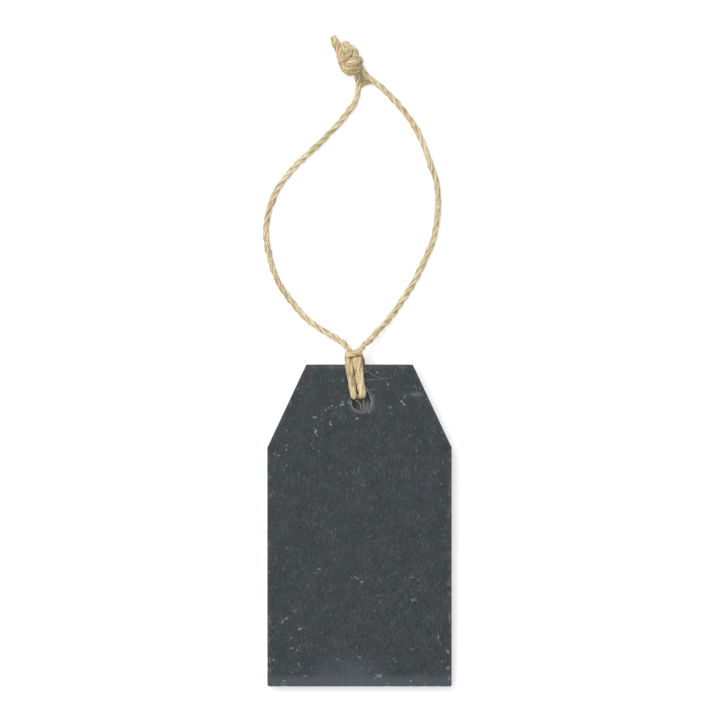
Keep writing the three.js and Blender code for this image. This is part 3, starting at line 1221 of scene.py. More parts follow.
def thin_tube(graph: Graph, curve: NodeSocket, given: bpy.types.NodeOutputs) -> None:
    """Turn a tree's curves into thin tapered fibres, and give them out of the tree.

    Args:
        graph: The tree.
        curve: The curves' socket.
        given: The tree's inputs, with Radius and Finish.
    """
    share = graph.add("GeometryNodeSplineParameter").outputs["Factor"]
    taper = graph.span(share, (0.0, 1.0), (1.0, 0.4))
    section = graph.add(
        "GeometryNodeCurvePrimitiveCircle", {"Resolution": 3, "Radius": 1.0}
    )
    tube = graph.add("GeometryNodeCurveToMesh", {
        "Curve": curve, "Profile Curve": section.outputs[0],
        "Scale": graph.calc("MULTIPLY", taper, given["Radius"]), "Fill Caps": True,
    })
    solid = graph.add("GeometryNodeRealizeInstances", {0: tube.outputs[0]})
    dressed = graph.add("GeometryNodeSetMaterial", {
        "Geometry": solid.outputs[0], "Material": given["Finish"],
    })
    graph.add("NodeGroupOutput", {0: dressed.outputs[0]})


def grown(tree: NodeTree, source: Object, name: str, values: dict) -> Object:
    """Run a Geometry Nodes tree on an object and keep the result as a plain mesh.

    Args:
        tree: The tree.
        source: The object that the tree reads. It is left as it was.
        name: The new object's name.
        values: Values of the tree's inputs by name.

    Returns:
        The new object, at the origin.
    """
    modifier = source.modifiers.new("nodes", "NODES")
    modifier.node_group = tree
    for item in tree.interface.items_tree:
        if item.item_type == "SOCKET" and item.in_out == "INPUT" and item.name in values:
            modifier[item.identifier] = values[item.name]
    view = bpy.context.evaluated_depsgraph_get()
    mesh = bpy.data.meshes.new_from_object(source.evaluated_get(view))
    source.modifiers.remove(modifier)
    mesh.name = name
    return new_object(name, mesh)


@dataclass
class DrawnFibres:
    """Fibres that follow given lines, made with Geometry Nodes."""

    radius: float = 0.05

    @staticmethod
    def tree() -> NodeTree:
        """Build the tree that turns lines of edges into fibres."""
        graph = Graph.group(
            "drawn_fibres", {"Lines": "Geometry", "Radius": "Float", "Finish": "Material"}
        )
        given = graph.add("NodeGroupInput").outputs
        curves = graph.add("GeometryNodeMeshToCurve", {"Mesh": given["Lines"]})
        thin_tube(graph, curves.outputs[0], given)
        return graph.tree

    def build(
        self, tree: NodeTree, name: str, lines: list[np.ndarray], tones: list[float],
        finish: Material,
    ) -> Object:
        """Make one mesh of fibres.

        Args:
            tree: The tree from this class.
            name: The new piece's name.
            lines: Each fibre's points in millimetres.
            tones: Each fibre's tone, from brown at 0 to pale at 1.
            finish: The fibres' material.

        Returns:
            The fibres' object, at the origin.
        """
        points, edges, tone = [], [], []
        for line, value in zip(lines, tones):
            first = len(points)
            points.extend((line * MM).tolist())
            tone.extend([value] * len(line))
            edges.extend((first + i, first + i + 1) for i in range(len(line) - 1))
        mesh = bpy.data.meshes.new(name)
        mesh.from_pydata(points, edges, [])
        store(mesh, "tone", np.array(tone))
        source = new_object(f"{name}_lines", mesh)
        values = {"Radius": self.radius * MM, "Finish": finish}
        fibres = grown(tree, source, name, values)
        bpy.data.objects.remove(source)
        return fibres


@dataclass
class LooseFibres:
    """Short fibres that stand off a surface, made with Geometry Nodes."""

    density: float = 0.9
    shortest: float = 0.5
    longest: float = 2.2
    radius: float = 0.028
    curl: float = 0.55
    points: int = 5
    stray_low: Triple = (-1.0, -1.0, -0.5)
    stray_high: Triple = (1.0, 1.0, 0.9)
    root: float = -0.08
    sway: Pattern = Pattern(650.0, 1.0)
    tones: Pair = (0.1, 1.0)

    def tree(self) -> NodeTree:
        """Build the tree that grows the fibres on a mesh.

        Returns:
            The tree, with named inputs for density, lengths, thickness, curl and seed.
        """
        numbers = ("Density", "Shortest", "Longest", "Radius", "Curl")
        graph = Graph.group("loose_fibres", {
            "Surface": "Geometry", **dict.fromkeys(numbers, "Float"), "Seed": "Int",
            "Finish": "Material",
        })
        given = graph.add("NodeGroupInput").outputs
        seed = {"Seed": given["Seed"]}
        roots = graph.add("GeometryNodeDistributePointsOnFaces", {
            "Mesh": given["Surface"], "Density": given["Density"], **seed,
        }).outputs
        stray = graph.add("FunctionNodeRandomValue", {
            0: self.stray_low, 1: self.stray_high, **seed,
        }, data_type="FLOAT_VECTOR").outputs[0]
        length, tone = (
            graph.add("FunctionNodeRandomValue", {
                2: low, 3: high, **seed,
            }, data_type="FLOAT").outputs[1]
            for low, high in ((given["Shortest"], given["Longest"]), self.tones)
        )
        aim = graph.add("FunctionNodeAlignRotationToVector", {
            "Vector": graph.vector("ADD", roots["Normal"], stray),
        }, axis="Z")
        straight = graph.add("GeometryNodeCurvePrimitiveLine", {
            "Start": (0.0, 0.0, self.root), "End": (0.0, 0.0, 1.0),
        })
        jointed = graph.add("GeometryNodeResampleCurve", {
            "Curve": straight.outputs[0], "Count": self.points,
        })
        placed = graph.add("GeometryNodeInstanceOnPoints", {
            "Points": roots["Points"], "Instance": jointed.outputs[0],
            "Rotation": aim.outputs[0], "Scale": length,
        })
        real = graph.add("GeometryNodeRealizeInstances", {0: placed.outputs[0]})
        # A fibre curls more towards its tip.
        place = graph.add("GeometryNodeInputPosition").outputs[0]
        share = graph.add("GeometryNodeSplineParameter").outputs["Factor"]
        bend = graph.calc("MULTIPLY", share, given["Curl"])
        sway = graph.vector(
            "SUBTRACT", graph.noise(place, self.sway, "Color"), (0.5, 0.5, 0.5)
        )
        reach = graph.calc("MULTIPLY", bend, given["Longest"])
        curled = graph.add("GeometryNodeSetPosition", {
            "Geometry": real.outputs[0], "Offset": graph.vector("SCALE", sway, reach),
        })
        # A fibre that would reach through the table lies along it instead.
        x, y, z = graph.add("ShaderNodeSeparateXYZ", {0: place}).outputs
        rested = graph.add("ShaderNodeCombineXYZ", {
            0: x, 1: y, 2: graph.calc("MAXIMUM", z, self.radius * MM),
        })
        laid = graph.add("GeometryNodeSetPosition", {
            "Geometry": curled.outputs[0], "Position": rested.outputs[0],
        })
        toned = graph.add("GeometryNodeStoreNamedAttribute", {
            "Geometry": laid.outputs[0], "Name": "tone", "Value": tone,
        }, data_type="FLOAT", domain="CURVE")
        thin_tube(graph, toned.outputs[0], given)
        return graph.tree

    def grow(
        self, tree: NodeTree, source: Object, name: str, finish: Material, seed: int,
        inputs: dict[str, float] | None = None,
    ) -> Object:
        """Grow fibres on a piece and return them as a plain mesh.

        Args:
            tree: The tree from this class.
            source: The piece that carries the fibres.
            name: The new piece's name.
            finish: The fibres' material.
            seed: The seed of everything random in it.
            inputs: Values that differ from this object's own.

        Returns:
            The fibres' object, at the origin.
        """
        values = {
            "Density": self.density * 1e6, "Shortest": self.shortest * MM,
            "Longest": self.longest * MM, "Radius": self.radius * MM, "Curl": self.curl,
            "Seed": seed, "Finish": finish,
        }
        return grown(tree, source, name, values | (inputs or {}))


# Slate


class Rim(NamedTuple):
    """One closed edge of the plate: its outline, or the circle of its hole."""

    loop: np.ndarray
    into: np.ndarray
    chip_scale: float
    rubbed: float
    outer: bool

    def noise(self, scale: float, shift: float) -> np.ndarray:
        """Give fractal noise round the rim, from about -1 to 1."""
        return np.array([
            noise.fractal(Vector((x * scale, y * scale, shift)), 1.0, 2.0, 3)
            for x, y in self.loop
        ])


@dataclass
class PlateMesh:
    """The plate's points and faces as they grow, with what its material reads."""

    points: list[Triple] = field(default_factory=list)
    wear: list[float] = field(default_factory=list)
    side: list[float] = field(default_factory=list)
    faces: list[list[int]] = field(default_factory=list)

    def add(self, x: float, y: float, z: float, wear: float, side: float) -> int:
        """Add one point and return its number."""
        self.points.append((x, y, z))
        self.wear.append(wear)
        self.side.append(side)
        return len(self.points) - 1

    def ring(
        self, rim: Rim, inset: np.ndarray, z: np.ndarray, worn: np.ndarray, dark: float
    ) -> list[int]:
        """Add one ring of points that follows a rim.

        Args:
            rim: The rim.
            inset: How far into the material each point lies.
            z: Each point's height.
            worn: Each point's wear.
            dark: The whole ring's side darkness.

        Returns:
            The points' numbers.
        """
        moved = rim.loop + rim.into * inset[:, None]
        return [
            self.add(x, y, float(high), float(w), dark)
            for (x, y), high, w in zip(moved, z, worn)
        ]

    def wall(self, upper: list[int], lower: list[int], outward: bool) -> None:
        """Join two rings with faces that look out of the material."""
        for i in range(len(upper)):
            j = (i + 1) % len(upper)
            quad = [lower[i], lower[j], upper[j], upper[i]]
            self.faces.append(quad if outward else quad[::-1])


@dataclass
class SlatePlate:
    """The slate: straight sawn sides, clipped top corners and a drilled hole.

    The faces are riven, so they wave a little, and the rims are chipped.
    """

    width: float = 55.0
    length: float = 96.0
    thickness: float = 4.0
    top_width: float = 31.8
    clip_drop: float = 24.7
    corner_radius: float = 0.6
    corner_points: int = 7
    hole_points: int = 56
    grid: float = 0.75
    back_grid: float = 1.2
    chip_grid: float = 0.17
    chip_margin: float = 0.3
    chip_depth: float = 0.13
    rim_step: float = 0.4
    rim_room: float = 0.3
    ease: float = 0.28
    # Each face's sign and where in the noise it is read: the writing face, the back.
    looks: tuple = ((1, 0.0), (-1, 31.0))
    # The walls show the slate's thin layers, one ring of points to a layer.
    layers: tuple = (1.15, 0.5, -0.2, -0.85, -1.35)
    wall_wave: float = 0.06
    layer_wave: float = 0.08
    wall_wear: float = 0.12
    wall_dark: float = 0.75
    edge_dark: float = 0.35
    seed: int = 5
    scar_seed: int = 17
    # Where the wave, the flakes and the grain are read, each by x and y, and how high
    # they stand.
    wave: Triple = (0.035, 0.03, 0.16)
    flakes: Triple = (0.11, 0.08, 0.05)
    grain: Triple = (0.5, 0.35, 0.022)
    slight_scars: int = 260
    # Least and most of a slight scar's x, y, length and width, and of its depth.
    slight_spans: tuple = ((-26, 26), (-47, 44), (0.4, 1.5), (0.25, 0.45))
    slight_depth: Pair = (0.12, 0.34)
    slight_turn: Pair = (90, 35)
    scar_rough: Pair = (1.9, 0.7)
    # Scars where a flake came off the writing face: x, y, length, width, turn in
    # degrees and how pale and deep it is.
    chips: tuple = (
        (-13.3, 32.3, 1.4, 0.6, 0, 0.7), (-13.15, 28.1, 1.3, 0.6, 80, 1.0),
        (-12.9, 27.0, 0.6, 0.4, 20, 0.5), (-13.6, 29.3, 0.5, 0.4, 60, 0.5),
        (-8.8, 31.1, 0.8, 0.5, 40, 0.9), (-8.6, 30.2, 1.0, 0.45, -55, 0.8),
        (-10.0, 34.5, 0.8, 0.4, 60, 0.8), (-9.2, 35.2, 0.8, 0.35, 55, 0.6),
        (-8.2, 35.7, 1.0, 0.4, 25, 0.6), (-6.9, 35.4, 0.6, 0.4, -20, 0.5),
        (-5.5, 36.0, 1.1, 0.6, 0, 0.7), (-4.9, 36.6, 1.3, 0.4, -70, 0.8),
        (-4.9, 43.3, 0.8, 0.6, 30, 0.8), (-21.5, 28.4, 0.6, 0.4, 0, 0.7),
        (-21.7, 23.9, 0.5, 0.4, 0, 0.6), (-21.7, 22.7, 0.6, 0.45, 40, 0.7),
        (-25.4, 21.4, 0.6, 0.5, 0, 0.7), (-24.1, 20.9, 0.7, 0.4, 30, 0.7),
        (-21.7, 17.9, 0.5, 0.4, 0, 0.6), (-0.75, 32.0, 1.0, 0.6, 35, 0.8),
        (0.45, 19.0, 0.5, 0.4, 0, 0.4), (5.2, 45.7, 0.8, 0.5, 0, 0.7),
        (8.5, 42.1, 0.9, 0.5, -50, 0.8), (13.45, 38.4, 1.6, 0.35, 58, 0.7),
        (12.5, 37.1, 0.8, 0.5, 20, 1.0), (13.3, 36.2, 1.1, 0.5, -40, 0.9),
        (9.1, 35.3, 0.8, 0.5, 50, 0.6), (17.0, 39.2, 3.2, 1.5, 5, 0.3),
        (18.1, 41.0, 0.5, 0.4, 0, 0.5), (19.9, 37.7, 0.6, 0.4, 0, 0.5),
        (22.0, 28.1, 0.6, 0.4, 0, 0.5), (24.4, 27.9, 0.6, 0.4, 0, 0.5),
        (-21.8, -27.7, 1.6, 0.4, 30, 0.85), (-22.9, -28.6, 1.7, 0.35, 62, 0.9),
        (-17.9, -30.8, 1.4, 0.55, 18, 0.85),
        (-20.3, -36.5, 0.9, 0.55, 0, 0.75), (-18.7, -37.1, 0.9, 0.55, 75, 0.75),
        (-18.2, -41.2, 0.8, 0.5, -50, 0.75), (-20.2, -43.8, 0.6, 0.4, 0, 0.6),
        (-22.4, -46.3, 0.8, 0.5, 0, 0.7), (-16.4, -44.8, 1.1, 0.4, 0, 0.7),
        (-6.4, -40.0, 1.7, 0.3, -45, 0.7), (-0.2, -39.2, 1.3, 0.4, -20, 0.6),
        (-25.6, -39.9, 0.7, 0.5, 0, 0.7), (4.6, -25.3, 0.6, 0.5, 0, 0.6),
        (15.8, -22.4, 0.6, 0.5, 0, 0.5), (10.3, -39.6, 0.5, 0.4, 0, 0.6),
        (10.8, -40.4, 0.6, 0.4, 60, 0.6), (10.6, -42.6, 0.5, 0.4, 0, 0.6),
        (5.8, -44.8, 2.5, 0.4, 25, 0.9), (5.8, -44.8, 2.2, 0.35, -30, 0.8),
        (15.2, -46.3, 0.8, 0.5, 0, 0.8), (15.5, -36.9, 0.6, 0.4, 0, 0.5),
        (23.5, -33.3, 2.1, 0.3, 90, 0.6), (26.1, -37.4, 0.9, 0.6, 0, 0.6),
        (24.7, -40.6, 0.6, 0.4, 0, 0.5), (25.9, -42.6, 1.1, 0.4, 90, 0.6),
        (26.9, -45.7, 0.8, 0.6, 0, 0.8), (26.8, -27.6, 3.8, 0.5, 90, 0.4),
        (26.4, -37.6, 1.3, 0.9, 80, 0.5), (26.5, -42.4, 1.2, 0.8, 70, 0.5),
        (26.9, -31.6, 1.6, 0.4, 90, 0.35), (26.9, -12.4, 1.4, 0.5, 90, 0.4),
        (-26.8, -28.4, 1.3, 0.5, 90, 0.5), (-26.9, -34.0, 2.2, 0.4, 90, 0.35),
        (-26.8, -13.7, 0.9, 0.4, 90, 0.4), (26.9, 12.0, 2.6, 0.4, 90, 0.3),
        (-12.1, -13.0, 0.9, 0.45, 25, 0.75), (-13.0, -14.1, 0.7, 0.35, -50, 0.5),
        (-0.9, -15.6, 1.5, 0.4, -35, 0.65), (0.6, -16.7, 0.8, 0.5, 30, 0.75),
        (-2.4, -15.4, 0.8, 0.3, 20, 0.4), (16.0, -22.1, 2.0, 0.35, -22, 0.7),
        (16.6, -21.6, 1.2, 0.3, 15, 0.55), (15.4, -15.4, 1.7, 0.3, 10, 0.45),
        (17.4, -16.0, 0.9, 0.3, -45, 0.45), (-0.8, -36.4, 0.3, 1.6, 12, 0.4),
        (4.5, -12.6, 0.5, 0.4, 0, 0.5), (12.1, -19.3, 0.8, 0.3, 60, 0.4),
    )

    def scars(self) -> list[tuple]:
        """Give the placed scars, and many slight ones strewn at random between them."""
        rng = np.random.default_rng(self.scar_seed)
        slight = [
            (
                *(rng.uniform(low, high) for low, high in self.slight_spans),
                rng.normal(*self.slight_turn), rng.uniform(*self.slight_depth),
            )
            for _ in range(self.slight_scars)
        ]
        return list(self.chips) + slight

    def chipped(self, spots: np.ndarray) -> np.ndarray:
        """Say how far each point of the writing face is chipped.

        Args:
            spots: One row of x and y per point.

        Returns:
            One number from 0 to 1 per point.
        """
        worn = np.zeros(len(spots))
        for x, y, length, width, turn, depth in self.scars():
            u, v = turned(spots - np.array([x, y]), -math.radians(turn)).T
            away = np.hypot(u * 2 / length, v * 2 / width)
            near = np.flatnonzero(away < 2.0)
            scale, share = self.scar_rough
            rough = share * np.array([
                noise.noise(Vector((px * scale, py * scale, 3.0))) for px, py in spots[near]
            ])
            # A scar is whole up to 0.6 of its half size, and gone at 1.2 of it.
            value = np.clip((1.2 - away[near] + rough) / 0.6, 0, 1) * depth
            worn[near] = np.maximum(worn[near], value)
        return worn

    def chip_spots(self) -> np.ndarray:
        """Give close points over every chip, so that the mesh can show it."""
        spots = []
        for x, y, length, width, turn, _ in self.scars():
            c, s = math.cos(math.radians(turn)), math.sin(math.radians(turn))
            half_u, half_v = length / 2 + self.chip_margin, width / 2 + self.chip_margin
            for u in np.arange(-half_u, half_u, self.chip_grid):
                for v in np.arange(-half_v, half_v, self.chip_grid):
                    if (u / half_u) ** 2 + (v / half_v) ** 2 < 1:
                        spots.append((x + u * c - v * s, y + u * s + v * c))
        return np.array(spots)

    def outline(self) -> np.ndarray:
        """Give the outline's points, about rim_step apart, counter-clockwise."""
        w, h, t = self.width / 2, self.length / 2, self.top_width / 2
        r = self.corner_radius
        corner = [
            (w - r + r * math.sin(a), -h + r - r * math.cos(a))
            for a in np.linspace(0, math.pi / 2, self.corner_points)
        ]
        right = corner + [(w, h - self.clip_drop), (t, h)]
        loop = right + [(-x, y) for x, y in reversed(right)]
        points = []
        for (x0, y0), (x1, y1) in zip(loop, loop[1:] + loop[:1]):
            count = max(1, round(math.hypot(x1 - x0, y1 - y0) / self.rim_step))
            for share in np.arange(count) / count:
                points.append((x0 + (x1 - x0) * share, y0 + (y1 - y0) * share))
        return np.array(points)

    def circle(self) -> np.ndarray:
        """Give the hole's points, counter-clockwise."""
        angle = TURN * np.arange(self.hole_points) / self.hole_points
        around = np.stack([np.cos(angle), np.sin(angle)], axis=1)
        return np.array(SEAT.hole) + SEAT.hole_radius * around

    @staticmethod
    def inward(loop: np.ndarray) -> np.ndarray:
        """Give the unit direction into the material at each point of an outline."""
        way = np.roll(loop, -1, 0) - np.roll(loop, 1, 0)
        way /= np.linalg.norm(way, axis=1)[:, None]
        return np.stack([-way[:, 1], way[:, 0]], axis=1)

    def relief(self, x: float, y: float, shift: float) -> float:
        """Give the riven face's height at a point, in millimetres."""
        wave, flakes, grain = (
            Vector((x * by_x, y * by_y, shift + apart))
            for (by_x, by_y, _), apart in ((self.wave, 0), (self.flakes, 4), (self.grain, 9))
        )
        # A flake is a step, which the tanh makes out of a smooth noise.
        step = self.flakes[2] * math.tanh(6 * noise.noise(flakes))
        rough = noise.fractal(grain, 0.9, 2.0, 3) * self.grain[2]
        return noise.noise(wave) * self.wave[2] + step + rough

    def within(
        self, spots: np.ndarray, edge: float = 0, clip: float = 0, hole: float = 0
    ) -> np.ndarray:
        """Say which points lie on the plate's faces.

        Args:
            spots: One row of x and y per point.
            edge: How far they stay from the straight edges.
            clip: How far they stay below the clipped corners.
            hole: How far they stay from the hole.

        Returns:
            Yes or no per point.
        """
        x, y = np.abs(spots[:, 0]), spots[:, 1]
        half, half_top = self.length / 2, self.top_width / 2
        slope = self.clip_drop / ((self.width - self.top_width) / 2)
        top = half - np.maximum(0, x - half_top) * slope
        away = np.hypot(spots[:, 0] - SEAT.hole[0], y - SEAT.hole[1])
        return (
            (x < self.width / 2 - edge) & (np.abs(y) < half - edge) & (y < top - clip)
            & (away > SEAT.hole_radius + hole)
        )

    def build(self, finish: Material) -> Object:
        """Make the plate.

        Args:
            finish: The slate's material.

        Returns:
            The plate's object.
        """
        plate, outline, hole = PlateMesh(), self.outline(), self.circle()
        rims = (
            Rim(outline, self.inward(outline), chip_scale=0.45, rubbed=0.15, outer=True),
            Rim(hole, -self.inward(hole), chip_scale=0.8, rubbed=0.5, outer=False),
        )
        bounds = {
            (sign, rim.outer): self.ease_edge(plate, rim, sign, shift)
            for sign, shift in self.looks for rim in rims
        }
        for rim in rims:
            self.layer_wall(plate, rim, bounds[1, rim.outer][1], bounds[-1, rim.outer][1])
        rng = np.random.default_rng(self.seed)
        for sign, shift in self.looks:
            self.fill_face(
                plate, bounds[sign, True][0], bounds[sign, False][0], sign, shift, rng
            )
        mesh = mesh_from("slate_plate", SEAT.place(np.array(plate.points)), plate.faces)
        mesh.materials.append(finish)
        store(mesh, "wear", np.array(plate.wear))
        store(mesh, "side", np.array(plate.side))
        return new_object("slate_plate", mesh)

    def layer_wall(
        self, plate: PlateMesh, rim: Rim, top: list[int], bottom: list[int]
    ) -> None:
        """Join the two faces' edges along a rim by the slate's thin layers.

        Args:
            plate: The mesh so far.
            rim: The rim.
            top: The ring at the writing face's edge.
            bottom: The ring at the back's edge.
        """
        above = top
        for number, level in enumerate(self.layers):
            inset = 0.05 + self.wall_wave * rim.noise(0.5, 11.0 + number * 3)
            z = level + self.layer_wave * rim.noise(0.3, 50.0 + number)
            worn = np.full(len(z), self.wall_wear)
            below = plate.ring(rim, np.clip(inset, -0.02, 0.2), z, worn, self.wall_dark)
            plate.wall(above, below, rim.outer)
            above = below
        plate.wall(above, bottom, rim.outer)

    def ease_edge(
        self, plate: PlateMesh, rim: Rim, sign: int, shift: float
    ) -> tuple[list[int], list[int]]:
        """Make one face's chipped and rubbed edge along a rim.

        Args:
            plate: The mesh so far.
            rim: The rim.
            sign: 1 for the writing face, -1 for the back.
            shift: Where in the noise the face is read.

        Returns:
            The rings where the edge meets the face and where it meets the wall.
        """
        half = self.thickness / 2
        # Where the coarse noise is high, a flake is off. The fine one roughens the rest.
        chip = np.clip((rim.noise(rim.chip_scale, shift + 2) - 0.18) * 2.2, 0, 1)
        fine = rim.noise(1.7, shift + 5)
        inner = np.clip(self.ease * (0.75 + 0.35 * fine) + chip * 0.75, 0.12, None)
        outer = 0.03 + 0.03 * fine + chip * 0.06
        heights = np.array([
            self.relief(x, y, shift) for x, y in rim.loop + rim.into * inner[:, None]
        ])
        edge_z = half - self.ease * 0.6 - chip * 0.45
        worn = rim.rubbed + 0.4 * chip
        upper = plate.ring(rim, inner, sign * (half + heights * 0.8), worn * 0.6, 0.0)
        lower = plate.ring(rim, outer, sign * edge_z, worn, self.edge_dark)
        plate.wall(upper, lower, (sign > 0) == rim.outer)
        return upper, lower

    def fill_face(
        self, plate: PlateMesh, rim: list[int], hole: list[int], sign: int, shift: float,
        rng: np.random.Generator,
    ) -> None:
        """Fill one riven face between its rim and the hole.

        Args:
            plate: The mesh so far, which gets the face.
            rim: The ring that bounds the face.
            hole: The ring round the hole.
            sign: 1 for the writing face, -1 for the back.
            shift: Where in the noise the face is read.
            rng: The seeded source.
        """
        bound = rim + hole
        edges = [
            (first + i, first + (i + 1) % len(ring))
            for first, ring in ((0, rim), (len(rim), hole)) for i in range(len(ring))
        ]
        step = self.grid if sign > 0 else self.back_grid
        gx, gy = np.meshgrid(
            np.arange(-self.width / 2, self.width / 2, step),
            np.arange(-self.length / 2, self.length / 2, step),
        )
        spots = np.stack([gx.ravel(), gy.ravel()], axis=1)
        spots += rng.uniform(-0.3, 0.3, spots.shape) * step
        if sign > 0:
            fine = self.chip_spots()
            fine += rng.uniform(-0.04, 0.04, fine.shape)
            spots = np.vstack([spots, fine])
        near = spots[self.within(spots, edge=0.5, clip=1.4, hole=0.7)]
        every_other = np.array([plate.points[i][:2] for i in rim])[None, ::2]
        gap = np.min(np.linalg.norm(near[:, None] - every_other, axis=2), axis=1)
        near = near[gap > self.rim_room]
        worn = self.chipped(near) if sign > 0 else np.zeros(len(near))
        flat = [Vector(plate.points[i][:2]) for i in bound] + [Vector(p) for p in near]
        verts, _, tris, origins, _, _ = delaunay_2d_cdt(flat, edges, [], 0, 1e-5)
        index = {}
        for i, (place, source) in enumerate(zip(verts, origins)):
            if source and source[0] < len(bound):
                index[i] = bound[source[0]]
            else:
                scar = float(worn[source[0] - len(bound)]) if source else 0.0
                relief = self.relief(place.x, place.y, shift)
                high = self.thickness / 2 + relief - self.chip_depth * scar
                index[i] = plate.add(place.x, place.y, sign * high, scar, 0.0)
        middles = [sum((verts[i] for i in tri), Vector((0, 0))) / 3 for tri in tris]
        for tri, kept in zip(tris, self.within(np.array(middles))):
            if kept:
                face = [index[i] for i in tri]
                plate.faces.append(face if sign > 0 else face[::-1])


@dataclass
class StrayFibres:
    """Jute fibres that lie on the slate beside the hitch and in the hole's rim, and one pale
    line along the hole's lower rim that is a painted highlight.
    """

    radius: float = 0.075
    lift: float = 2.22
    # Each fibre's tone, then points on the slate's face: x, y and height above it.
    lines: tuple = (
        (0.55, (1.4, 47.0, 0.9), (2.1, 45.9, 0.5), (3.0, 46.5, 0.3), (3.5, 47.4, 0.2)),
        (0.5, (2.0, 46.2, 0.6), (2.9, 45.6, 0.2), (4.75, 44.6, 0), (7.4, 43.8, 0),
         (9.4, 44.1, 0), (10.6, 45.2, 0), (10.8, 47.0, 0)),
        (0.5, (1.9, 43.6, 0.6), (3.0, 43.6, 0), (5.0, 43.65, 0), (6.9, 43.6, 0)),
        (0.4, (1.9, 43.2, 0.6), (3.2, 43.3, 0), (5.1, 43.3, 0)),
        (0.25, (7.6, 42.95, 0), (8.7, 41.8, 0), (8.4, 40.4, 0)),
        (0.75, (1.9, 41.2, 0.7), (2.8, 40.35, 0.2), (3.8, 40.6, 0), (4.9, 40.8, 0)),
        (0.8, (2.1, 40.9, 0.5), (2.5, 39.9, 0.1), (3.0, 39.1, 0.05), (3.6, 38.2, 0.05)),
        (1.0, (2.95, 38.9, 0.1), (3.5, 38.0, 0.1), (3.72, 36.9, 0.1), (3.5, 35.9, 0.05),
         (3.0, 35.1, 0.0)),
        (0.9, (3.2, 38.3, 0.15), (3.62, 37.3, 0.15), (3.58, 36.4, 0.1), (3.3, 35.6, 0.05)),
        # A pale line along the hole's lower rim, drawn as a fibre: a painted highlight.
        (0.8, (-2.5, 37.4, 0.0), (-2.35, 36.1, 0.0), (-1.8, 35.0, 0.0), (-0.5, 34.25, 0.0),
         (0.85, 34.05, 0.0), (2.0, 34.3, 0.0), (2.7, 35.0, 0.0)),
        (0.85, (-1.1, 37.4, -0.2), (-0.1, 36.7, -0.3), (0.36, 35.9, -0.3),
         (0.27, 34.6, -0.2)),
        (0.95, (1.29, 37.6, -0.1), (1.3, 36.1, -0.2), (1.17, 34.6, -0.1)),
        (0.55, (2.45, 37.0, -0.2), (2.4, 36.0, -0.3), (1.9, 34.8, -0.2)),
        (0.35, (-4.7, 44.2, 0.0), (-5.6, 43.2, 0.0), (-6.0, 42.4, 0.0)),
    )

    def build(self, tree: NodeTree, finish: Material) -> Object:
        """Make the fibres.

        Args:
            tree: The tree for drawn fibres.
            finish: The fibres' material.

        Returns:
            Their object.
        """
        drawn = []
        for _, *points in self.lines:
            samples, _ = curve_through(np.array(points, float) + [0, 0, self.lift], 6)
            drawn.append(SEAT.place(samples))
        tones = [line[0] for line in self.lines]
        return DrawnFibres(self.radius).build(tree, "stray_fibres_and_rim_highlight", drawn, tones, finish)


@dataclass
class KnotWeb:
    """Fibres that bridge the two legs just below the knot."""

    radius: float = 0.06
    count: int = 200
    above: int = 22
    seed: int = 21
    starts: tuple[int, int] = (3, 26)
    # A fibre ends up to this many rings nearer the knot than it starts.
    climb: int = 8
    spread: Triple = (0.3, 0.25, 0.35)
    heights: Pair = (0.3, 1.9)
    tone: Pair = (0.52, 0.2)

    def build(
        self, tree: NodeTree, left: np.ndarray, right: np.ndarray, finish: Material
    ) -> Object:
        """Make the fibres.

        Args:
            tree: The tree for drawn fibres.
            left: The left leg's middle line, down from the knot.
            right: The right leg's middle line, down from the knot.
            finish: The fibres' material.

        Returns:
            Their object.
        """
        rng = np.random.default_rng(self.seed)
        lines, tones = [], []
        for _ in range(self.count):
            near = int(rng.integers(*self.starts))
            far = int(np.clip(near - self.climb + rng.integers(0, 7), 0, 18))
            a = left[near] + rng.normal(0, self.spread[0], 3)
            b = right[far] + rng.normal(0, self.spread[2], 3)
            middle = (left[near] + right[far] + right[max(far - 6, 0)]) / 3
            stations = np.array([a, middle + rng.normal(0, self.spread[1], 3), b])
            stations[:, 2] = np.clip(stations[:, 2], *self.heights)
            lines.append(curve_through(stations, 5)[0])
            tones.append(float(np.clip(rng.normal(*self.tone), 0, 1)))
        return DrawnFibres(self.radius).build(tree, "web_fibres", lines, tones, finish)


# Assembly


class Stretch(NamedTuple):
    """One piece of twine: its lines, a slot name, and what it replaces and rides on."""

    name: str
    lines: tuple[str, ...]
    node: str
    slot: str
    first: Body
    second: Body | None


